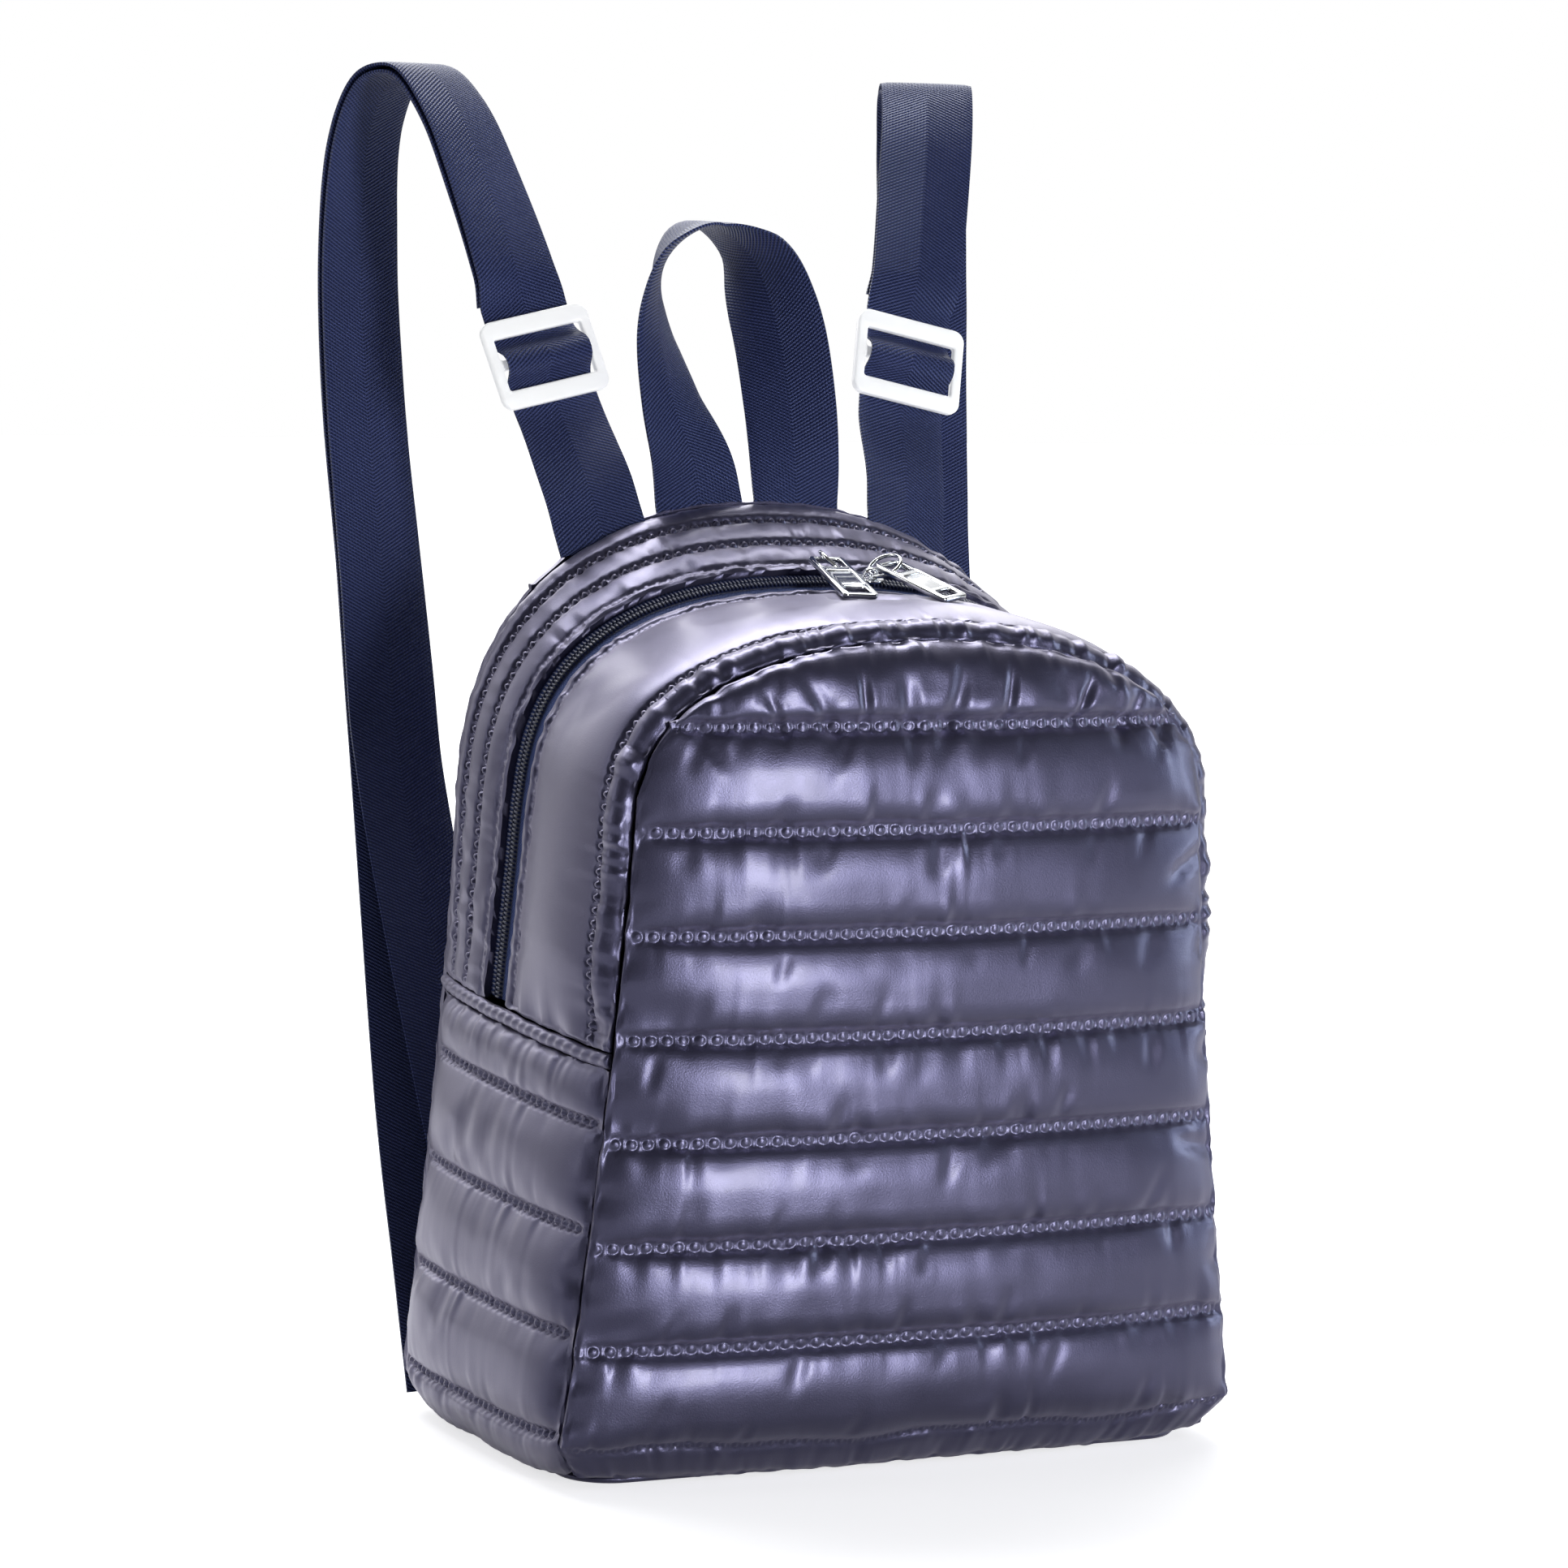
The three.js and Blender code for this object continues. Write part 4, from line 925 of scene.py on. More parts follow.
@dataclass
class BagBody:
    """All padded cloth of the bag."""

    front_pillow: float = 10.5
    back_pillow: float = 3.0

    @staticmethod
    def face(
        form: BagForm, pillow: float, y: float, sign: float, lines: int
    ) -> Callable[[Array, Array], Array]:
        """Carrier of the front or back panel.

        Args:
            form: outline of the panel.
            pillow: swell of the whole panel.
            y: plane of its seam.
            sign: direction in which it faces along Y.
            lines: number of quilt lines.

        Returns:
            A function of the place across (-1 to 1) and up in mm.
        """
        top_line = QUILT_LINES[lines - 1]

        def carrier(a: Array, b: Array) -> Array:
            """Point of the panel before its channels are filled."""
            z = np.minimum(b, top_line)
            x = (0.8 * a + 0.2 * np.sin(a * math.pi / 2)) * (form.half_width(z) - CREASE) * -sign
            crown = np.maximum(form.top_of(x) - CREASE, top_line + 1.5)
            share = np.clip((b - top_line) / (form.top - CREASE - top_line), 0, 1)
            z = np.where(b > top_line, top_line + (crown - top_line) * share, z)
            z = z + 0.9 * (
                np.sin(x / 17) + 0.6 * np.sin(x / 7.3 + 1)
            ) * np.exp(-(((z - QUILT_LINES[0]) / 7) ** 2))
            swell = pillow * (1 - np.abs(a) ** 2.2) * (1 - np.abs(2 * z / form.top - 1) ** 6)
            return np.stack(
                [x, y - sign * tuck(z) + sign * swell, z - bottom_drop(z) + corner_lift(a, z)], axis=-1
            )

        return carrier

    @staticmethod
    def side(side: Side) -> Callable[[Array, Array], Array]:
        """Carrier of a side panel under its binding."""

        def carrier(a: Array, b: Array) -> Array:
            """Point at a share of the depth and a height at the front edge."""
            t = a if side is Side.RIGHT else 1 - a
            zt = b + BINDING_RISE * t * (b - FLOOR_EDGE) / BINDING_HEIGHT
            y0, y1 = FRONT_EDGE + tuck(b), BACK_EDGE - tuck(zt)
            half = FRONT.half_width(b) * (1 - t) + BACK.half_width(zt) * t - CREASE
            swell = SIDE_SWELL * (1 - np.abs(2 * t - 1) ** 3) * np.minimum(1, b / 40)
            return np.stack(
                [
                    side.value * (half + swell),
                    y0 + (y1 - y0) * t,
                    zt - bottom_drop(zt) + corner_lift(2 * t - 1, zt),
                ],
                axis=-1,
            )

        return carrier

    @staticmethod
    def gusset(a: Array, b: Array) -> Array:
        """Carrier of both gusset strips."""
        p, _, _, out = gusset_frame(a, b)
        step = 4.6 * smooth(1, 12, b) * (1 - smooth(18, 60, b)) + 1.2 * smooth(92, 108, b) * (
            1 - smooth(120, 129, b)
        )
        step = step * smooth(0.0, 0.14, 1 - np.abs(a)) - 1.3 * smooth(54, 71, b) * (1 - smooth(80, 87, b))
        return p + out * (step - CREASE)[..., None]

    @staticmethod
    def channels(
        bounds: Sequence[float],
        rises: Sequence[float],
        rows: Sequence[int],
        lines: Sequence[Line],
        spare: float = 0.35,
    ) -> list[Channel]:
        """Channels between neighbouring bounds."""
        return [
            Channel(bounds[k], bounds[k + 1], rises[k], rows[k], lines[k], lines[k + 1], spare)
            for k in range(len(rises))
        ]

    @staticmethod
    def soft_folds(lines: Sequence[float]) -> list[Dent]:
        """Soft slanted folds across the channels of the front panel.

        Args:
            lines: heights of the lines.

        Returns:
            The folds, the same on each run.
        """
        rng = np.random.default_rng(8)
        folds = []
        for low, high in zip(lines[1:-2], lines[2:-1]):
            for x in (-88.0, -62.0, -40.0, -18.0, 4.0, 26.0, 52.0, 84.0):
                up = rng.uniform(0.1, 0.3) if rng.random() < 0.5 else rng.uniform(0.68, 0.9)
                place = x + rng.uniform(-10, 10), low + (high - low) * up
                folds.append(
                    Dent(
                        *place,
                        rng.uniform(52, 78),
                        rng.uniform(4.5, 8.5),
                        rng.uniform(2.0, 4.0),
                        rng.uniform(0.3, 0.85),
                    )
                )
        return folds

    def panels(self) -> list[Panel]:
        """The padded panels with their quilting.

        Returns:
            Front, back, sides and gusset strips.
        """
        dots, small, edge = Line.DOTS, Line.SMALL_DOTS, Line.EDGE
        front_lines = [FLOOR_EDGE, *QUILT_LINES[:8], FRONT.top - CREASE]
        back_lines = [FLOOR_EDGE, *QUILT_LINES[:9], BACK.top - CREASE]
        side_lines = [FLOOR_EDGE, *(16.8 + 33.4 * k for k in range(4)), BINDING_HEIGHT - 2.8]
        front = Panel(
            "front_panel_quilt",
            "front_panel",
            self.face(FRONT, self.front_pillow, -DEPTH / 2, -1, 8),
            self.channels(
                front_lines,
                [1.0] + [3.9] * 7 + [4.2],
                [3] + [11] * 7 + [9],
                [edge, Line.STITCH] + [dots] * 7 + [edge],
                0.03,
            ),
            (-1, 1),
            0.54,
            84,
            middle=2.3,
            seed=3,
            pressure=3.0,
            pucker=1.15,
            soften=4,
            sag=0.9,
            gather=1.0,
            wander=0.3,
            dents=[
                Dent(-101, 118, -8, 12, 5.5, 2.4),
                Dent(-108, 52, 12, 11, 4.2, 2.0),
                Dent(-94, 152, -6, 12, 6.5, 2.5),
                Dent(96, 196, 25, 9, 2.0, 1.8),
                Dent(104, 102, -12, 9, 2.0, 1.8),
                Dent(52, 250, 62, 7, 1.8, 2.2),
                Dent(4, 249, 72, 13, 3.2, 1.7),
                Dent(-28, 250, 96, 8, 2.0, 1.5),
                Dent(-58, 246, 118, 7, 1.8, 1.4),
                Dent(-80, 238, 128, 7, 2.2, 1.5),
                Dent(-42, 247, 122, 12, 2.8, 1.3),
                Dent(-12, 246, 98, 12, 3.6, 1.5),
                Dent(24, 252, 78, 8, 2.0, 1.5),
                Dent(70, 245, 60, 8, 2.2, 1.6),
                Dent(84, 238, 48, 6, 1.8, 1.3),
            ],
        )
        front.channels[-1].spare = 0.18
        front.dents += self.soft_folds(front_lines)
        back = Panel(
            "back_panel_quilt",
            "back_panel",
            self.face(BACK, self.back_pillow, DEPTH / 2, 1, 9),
            self.channels(
                back_lines,
                [0.8] + [3] * 8 + [2.4],
                [3] + [9] * 8 + [8],
                [edge, Line.STITCH] + [dots] * 8 + [edge],
                0.12,
            ),
            (-1, 1),
            1.05,
            70,
            pressure=4.0,
            seed=11,
            stride=6,
            pucker=0.4,
        )
        sides = [
            Panel(
                f"side_panel_{side.word}_quilt",
                f"side_panel_{side.word}",
                self.side(side),
                self.channels(
                    side_lines,
                    [2.4] + [3.6] * 3 + [3.2],
                    [4] + [11] * 3 + [6],
                    [edge] + [small] * 4 + [edge],
                    0.08,
                ),
                (0, 1),
                0.72,
                44,
                seed=21 + side.value,
                limits=(FRONT_EDGE, BACK_EDGE),
                gather=1.1,
                pressure=3.5,
                pucker=0.7,
                sag=0.5,
            )
            for side in Side
        ]
        front_strip = Panel(
            "gusset_front_strip_quilt",
            "gusset_front_strip",
            self.gusset,
            self.channels(
                [CLOTH + GAP, 12, STRIP_END - 7, STRIP_END - 2.5],
                [2.4, 1.8, 0.6],
                [4, 14, 2],
                [edge, small, Line.STITCH, edge],
                0.05,
            ),
            (-1, 1),
            0.56,
            190,
            thickness=1.0,
            pressure=3.0,
            seed=31,
            middle=3.2,
            gather=2.2,
            reach=12.0,
            last_share=0.3,
            pucker=0.55,
            pinch=under_tabs,
            limits=(FRONT_EDGE, BACK_EDGE),
        )
        back_strip = Panel(
            "gusset_back_strip_quilt",
            "gusset_back_strip",
            self.gusset,
            self.channels(
                [STRIP_END + ZIP_GAP, 91.4, 104, 117, DEPTH - CLOTH - GAP],
                [0.7, 0.9, 0.8, 1.2],
                [2, 5, 5, 5],
                [edge, Line.STITCH, small, small, edge],
                0.03,
            ),
            (-1, 1),
            0.6,
            210,
            pressure=1.5,
            seed=41,
            gather=0.8,
            pucker=0.6,
            middle=1.8,
            limits=(FRONT_EDGE, BACK_EDGE),
        )
        return [front, back, *sides, front_strip, back_strip]

    def binding(self, side: Side) -> bpy.types.Object:
        """Folded binding over the side panel's top seam, with slanted pleats.

        Args:
            side: left or right.

        Returns:
            The padded object.
        """
        count, ring = 190, 18
        t = np.linspace(0, 1, count)
        y = FRONT_EDGE + (BACK_EDGE - FRONT_EDGE) * t
        z = BINDING_HEIGHT + BINDING_RISE * t
        swell = SIDE_SWELL * (1 - np.abs(2 * t - 1) ** 3)
        half = FRONT.half_width(z * 0 + BINDING_HEIGHT) * (1 - t) + BACK.half_width(z) * t - CREASE + swell
        loops = np.zeros((count, ring, 3))
        for k in range(ring):
            a = 2 * math.pi * k / ring
            c, n = math.cos(a), math.sin(a)
            pleat = 0.3 * np.sin(2 * math.pi * (y + 1.8 * n) / 5.2) + 0.18 * ripple(y, 3.1, 7 + side.value)
            bulge = max(c, -0.2)
            loops[:, k, 0] = side.value * (half - 0.2 + (2.0 * bulge + pleat * max(c, 0)))
            loops[:, k, 1] = y
            loops[:, k, 2] = z + 2.45 * n + 0.25 * ripple(y, 9, 3)
        points, quads, caps = tube_grid(loops)
        uv = np.stack([np.repeat(y, ring), np.tile(np.arange(ring) * 0.9, count)], axis=-1)
        return outward(mesh_object(f"side_binding_{side.word}_fold", points, quads, caps, uv))

    def base(self) -> bpy.types.Object:
        """Base panel: a flat padded pad with round corners and a soft rim."""
        half, deep = float(FRONT.half_width(0)) - 2, DEPTH - 14
        rim = rounded_outline(2 * half, deep, 16, 14)
        profile = (
            (0.0, 0.0),
            (0.55, 0.0),
            (0.97, 0.0),
            (0.992, 0.35),
            (1.0, 1.2),
            (0.998, 2.2),
            (0.985, 2.9),
            (0.9, 3.0),
            (0.5, 3.0),
            (0.0, 3.0),
        )
        rings = [np.column_stack([rim * share, np.full(len(rim), z)]) for share, z in profile[1:-1]]
        dense = [np.concatenate([ring, ring[:1]]) for ring in rings]
        loops = np.array([ring[:-1] for ring in dense])
        points, quads, _ = tube_grid(loops)
        n, last = len(rim), (len(loops) - 1) * len(rim)
        points = np.concatenate([points, [[0, 0, 0.0]], [[0, 0, 3.0]]])
        i = np.arange(n)
        low = np.stack([np.full(n, len(points) - 2), i, (i + 1) % n], axis=-1)
        high = np.stack([np.full(n, len(points) - 1), last + (i + 1) % n, last + i], axis=-1)
        return outward(
            mesh_object("base_panel_pad", points, quads, np.concatenate([low, high]), points[:, :2])
        )


# Webbing


@dataclass
class Station:
    """One place along a webbing: its centre, its direction, across it and out of its face."""

    p: Array
    tangent: Array
    w: Array

    @property
    def n(self) -> Array:
        """Direction out of the face."""
        return unit(np.cross(self.tangent, self.w))


def from_seam(row: dict[str, float]) -> tuple[list[float], list[float]]:
    """Point and across-direction of a table row that is measured from the back seam."""
    z = row["z"] if "z" in row else BACK.top + row["up"]
    return [row["x"], DEPTH / 2 + row["back"], z], [row["ax"], row["ay"], row["az"]]


def station(curve: SpaceCurve, turn: SpaceCurve, share: float) -> Station:
    """Station of a webbing at a share of its curve."""
    tangent, w = curve.tangent(share), turn.at(share)
    return Station(curve.at(share), tangent, unit(w - tangent * float(w @ tangent)))


@dataclass
class Webbing:
    """Flat woven band of even width along stations."""

    width: float = 32.0
    thickness: float = 1.6
    step: float = 2.0
    ribs: int = 14

    def resampled(
        self, stations: Sequence[Station], offset: float = 0.0
    ) -> tuple[Array, Array, Array, Array]:
        """Evenly spaced centres, across and face directions and the distance along the band."""
        p = np.array([s.p + s.n * offset for s in stations])
        w, n = np.array([s.w for s in stations]), np.array([s.n for s in stations])
        length = np.append(0, np.cumsum(np.linalg.norm(np.diff(p, axis=0), axis=-1)))
        at = np.linspace(0, length[-1], int(length[-1] / self.step) + 1)
        w, n = unit(spread(w, length, at, [])), spread(n, length, at, [])
        n = unit(n - w * np.sum(n * w, axis=-1, keepdims=True))
        return spread(p, length, at, []), w, n, at

    @staticmethod
    def sewn(stations: Sequence[Station], foot: tuple[float, float]) -> list[Station]:
        """The stations with both ends run on into their seams by a length."""
        out = list(stations)
        for length, at, sign in ((foot[0], 0, -1), (foot[1], -1, 1)):
            if length:
                end = out[at]
                more = Station(end.p + end.tangent * sign * length, end.tangent, end.w)
                out.insert(0, more) if at == 0 else out.append(more)
        return out

    def band(
        self,
        name: str,
        stations: Sequence[Station],
        seed: int,
        offset: float = 0.0,
        foot: tuple[float, float] = (0.0, 0.0),
    ) -> bpy.types.Object:
        """Builds the band with soft edges and a little life in its lie.

        Args:
            name: name of the piece.
            stations: where it runs.
            seed: number that fixes its unevenness.
            offset: shift out of the face in mm.
            foot: how far the first and the last end run on into a seam.

        Returns:
            The object.
        """
        p, w, n, at = self.resampled(self.sewn(stations, foot), offset)
        free = smooth(6, 40, np.minimum(at, at[-1] - at))
        curl = 0.35 * ripple(at, 42, seed) * free
        half, t = self.width / 2, self.thickness / 2
        across = [-1.0 + 2.0 * k / self.ribs for k in range(self.ribs + 1)]
        loops, flat = [], []
        for face in (1, -1):
            for a in across if face > 0 else across[::-1]:
                x = a * half
                edge = 1 - 0.45 * abs(a) ** 24
                uneven = 0.12 * ripple(at, 17, seed + 5 + int(a > 0)) * abs(a) ** 6
                lift = face * t * edge + curl * (a * a - 0.4)
                loops.append(p + w * (x + uneven * np.sign(a))[:, None] + n * lift[:, None])
                flat.append(np.column_stack([np.full(len(at), x), at]))
        points, quads, caps = tube_grid(np.swapaxes(np.array(loops), 0, 1))
        uv = np.swapaxes(np.array(flat), 0, 1).reshape(-1, 2)
        obj = outward(mesh_object(name, points, quads, caps, uv))
        obj.data.set_sharp_from_angle(angle=math.radians(55))
        return obj


HANDLE_SHIFT = -3.0
HANDLE_ROWS = (
    {"x": -18.4, "back": -0.4, "up": -1.75, "ax": 1, "ay": 0, "az": 0.13},
    {"x": -19.5, "back": 2.6, "up": 11, "ax": 1, "ay": 0.1, "az": 0.08},
    {"x": -25, "back": 10, "up": 33, "ax": 0.86, "ay": 0.5, "az": 0.15},
    {"x": -26.5, "back": 20, "up": 59, "ax": 0.66, "ay": 0.75, "az": 0.1},
    {"x": -20, "back": 28, "up": 80, "ax": 0.4, "ay": 0.92, "az": 0},
    {"x": -4, "back": 32.5, "up": 92, "ax": 0, "ay": 1, "az": 0},
    {"x": 12, "back": 30, "up": 84, "ax": -0.35, "ay": 0.93, "az": 0},
    {"x": 19.5, "back": 22, "up": 61, "ax": -0.74, "ay": 0.66, "az": 0},
    {"x": 20.5, "back": 11, "up": 33, "ax": -0.93, "ay": 0.36, "az": 0},
    {"x": 19, "back": 2.6, "up": 11, "ax": -0.99, "ay": 0.15, "az": 0.04},
    {"x": 18.4, "back": -0.4, "up": -1.15, "ax": -1, "ay": 0, "az": 0.0875},
)
STRAP_ROWS = (
    {"x": 58.5, "back": 0, "up": -8.6, "ax": 0.894, "ay": 0, "az": -0.447},
    {"x": 60.6, "back": 5, "up": 4, "ax": 0.93, "ay": -0.02, "az": -0.36},
    {"x": 64, "back": 14, "up": 22, "ax": 0.97, "ay": -0.05, "az": -0.24},
    {"x": 69.5, "back": 23, "up": 46, "ax": 0.98, "ay": -0.07, "az": -0.2},
    {"x": 76.5, "back": 32, "up": 73, "ax": 0.95, "ay": -0.22, "az": -0.2},
    {"x": 84, "back": 43, "up": 104, "ax": 0.92, "ay": -0.36, "az": -0.15},
    {"x": 91, "back": 55, "up": 129, "ax": 0.9, "ay": -0.43, "az": -0.08},
    {"x": 97.5, "back": 69, "up": 142, "ax": 0.894, "ay": -0.447, "az": 0},
    {"x": 104, "back": 84, "up": 139, "ax": 0.894, "ay": -0.447, "az": 0},
    {"x": 108.5, "back": 92, "up": 121, "ax": 0.91, "ay": -0.41, "az": 0},
    {"x": 110.5, "back": 92, "up": 78, "ax": 0.96, "ay": -0.27, "az": 0},
    {"x": 109.5, "back": 86, "up": 28, "ax": 0.98, "ay": -0.2, "az": 0},
    {"x": 107, "back": 75, "up": -27, "ax": 0.99, "ay": -0.12, "az": 0},
    {"x": 106, "back": 61, "z": 225, "ax": 1, "ay": 0.03, "az": 0},
    {"x": 107, "back": 42, "z": 160, "ax": 1, "ay": 0.04, "az": 0},
    {"x": 107, "back": 25, "z": 95, "ax": 1, "ay": 0.02, "az": 0},
    {"x": 105, "back": 12, "z": 45, "ax": 1, "ay": 0, "az": 0},
    {"x": 103.4, "back": 6, "z": 18, "ax": 1, "ay": 0, "az": 0},
    {"x": 103, "back": 2.3, "z": 5.5, "ax": 1, "ay": 0, "az": 0},
)


@dataclass
class CarryHandle:
    """Loop of webbing on the top of the back."""

    webbing: Webbing = field(default_factory=Webbing)
    count: int = 44

    def stations(self) -> list[Station]:
        """Where the handle runs."""
        rows = [from_seam(row) for row in HANDLE_ROWS]
        curve = SpaceCurve([[p[0] + HANDLE_SHIFT, p[1], p[2]] for p, _ in rows])
        turn = SpaceCurve([a for _, a in rows])
        return [station(curve, turn, k / self.count) for k in range(self.count + 1)]

    def build(self) -> bpy.types.Object:
        """The handle band."""
        return self.webbing.band("carry_handle_band", self.stations(), 51, foot=(6.0, 6.0))


@dataclass
class ShoulderStrap:
    """One shoulder strap: outer band, second layer and the frame that it is threaded through."""

    side: Side
    webbing: Webbing = field(default_factory=Webbing)
    layer_spacing: float = 2.4
    layer_start: float = 4.3
    layer_behind: float = 57.0
    slider_row: int = 3
    leaving_row: int = 13
    frame_height: float = 31.0
    frame_width: float = 41.0
    outer_bar: float = 6.4
    side_bar: float = 3.6
    middle_bar: float = 3.6
    frame_thickness: float = 3.0
    weave: tuple[tuple[float, float], ...] = (
        (-22, -2.4),
        (-17, -3.0),
        (-12, -3.2),
        (-9, -3.1),
        (-6.6, -1.6),
        (-4.9, 0.4),
        (-3.4, 2.6),
        (-1.5, 3.9),
        (1.5, 3.9),
        (3.4, 2.6),
        (4.9, 0.4),
        (6.6, -1.6),
        (9, -3.1),
        (12, -3.2),
        (17, -3.0),
        (22, -2.4),
    )

    def slider_frame(self) -> tuple[Array, Array, Array, Array]:
        """Centre, up, across and front of the strap slider on the right side."""
        (a, _), (b, turn), (c, _) = (from_seam(STRAP_ROWS[self.slider_row + k]) for k in (-1, 0, 1))
        up = unit(np.array(c) - np.array(a))
        across = np.array(turn, float)
        across = unit(across - up * float(across @ up))
        front = unit(np.cross(across, up))
        return np.array(b, float), up, across, front if front[1] < 0 else -front

    def stations(self) -> list[Station]:
        """Stations of the outer band of the right strap."""
        centre, up, across, front = self.slider_frame()
        rows = [from_seam(row) for row in STRAP_ROWS]
        middle = [(list(centre + up * along + front * out), list(across)) for along, out in self.weave]
        rows = rows[: self.slider_row - 1] + middle + rows[self.slider_row + 1 :]
        curve, turn = SpaceCurve([p for p, _ in rows]), SpaceCurve([a for _, a in rows])
        out, spans = [], len(rows) - 1
        for i in range(spans):
            gap = float(np.linalg.norm(np.array(rows[i + 1][0]) - np.array(rows[i][0])))
            parts = 1 if gap < 8 else 4
            out.extend(station(curve, turn, (i + k / parts) / spans) for k in range(parts))
        return [*out, station(curve, turn, 1.0)]

    def layer(self, stations: Sequence[Station]) -> list[Station]:
        """Stations of the second layer of the right strap."""
        centre, up, _, _ = self.slider_frame()
        start = centre + up * (self.frame_height / 2 + self.layer_start)
        leaving = DEPTH / 2 + STRAP_ROWS[self.leaving_row]["back"]
        kept = []
        for s in stations:
            behind = s.p[1] > DEPTH / 2 + self.layer_behind
            past = float((s.p - start) @ up) > 0 or behind
            low = s.p[1] < leaving and s.p[2] < BACK.top
            if past and (behind or s.p[2] > start[2]) and not low:
                kept.append(s)
        moved = [Station(s.p + s.n * self.layer_spacing, s.tangent, s.w) for s in kept]
        x = kept[-1].p[0]
        tail = [(1.5, 48, 193), (5, 32, 150), (10, 17, 105), (14.5, 7.6, 70), (16, 5.9, 48)]
        points = [moved[-2].p, moved[-1].p, *([x - i, DEPTH / 2 + b, z] for i, b, z in tail)]
        curve = SpaceCurve(points)
        for k in range(1, 13):
            share = (1 + k / 12 * (len(points) - 2)) / (len(points) - 1)
            tangent = curve.tangent(share)
            moved.append(
                Station(curve.at(share), tangent, unit(np.array([1.0, 0, 0]) - tangent * tangent[0]))
            )
        return moved

    def _flipped(self, stations: Sequence[Station]) -> list[Station]:
        """The same stations on this strap's side."""
        if self.side is Side.RIGHT:
            return list(stations)
        m = np.array([-1.0, 1, 1])
        return [Station(s.p * m, s.tangent * m, -(s.w * m)) for s in stations]

    def bands(self) -> list[tuple[bpy.types.Object, str]]:
        """Both bands with the nodes that they stand for."""
        stations = self.stations()
        word, seed = self.side.word, 61 + self.side.value
        outer, inner = self._flipped(stations), self._flipped(self.layer(stations))
        return [
            (
                self.webbing.band(f"shoulder_strap_{word}_band", outer, seed, foot=(9.0, 0.0)),
                f"shoulder_strap_{word}",
            ),
            (
                self.webbing.band(f"strap_second_layer_{word}_band", inner, seed + 9),
                f"strap_second_layer_{word}",
            ),
        ]

    def slider(self) -> bpy.types.Object:
        """White frame with a middle bar."""
        centre, up, across, _ = self.slider_frame()
        m = np.array([float(self.side.value), 1, 1])
        centre, up, across = centre * m, up * m, across * m * self.side.value
        front = unit(np.cross(across, up))
        slot_w = self.frame_width - 2 * self.side_bar
        slot_h = (self.frame_height - 2 * self.outer_bar - self.middle_bar) / 2
        shift = (self.middle_bar + slot_h) / 2
        hole = rounded_outline(slot_w, slot_h, 0.9)
        outline = rounded_outline(self.frame_width, self.frame_height, 4.2, 10)
        holes = [hole + [0, shift], hole - [0, shift]]
        obj = plate(f"strap_slider_{self.side.word}_frame", outline, holes, self.frame_thickness, 0.75)
        return placed(obj, centre, across, up, front)


# Zip


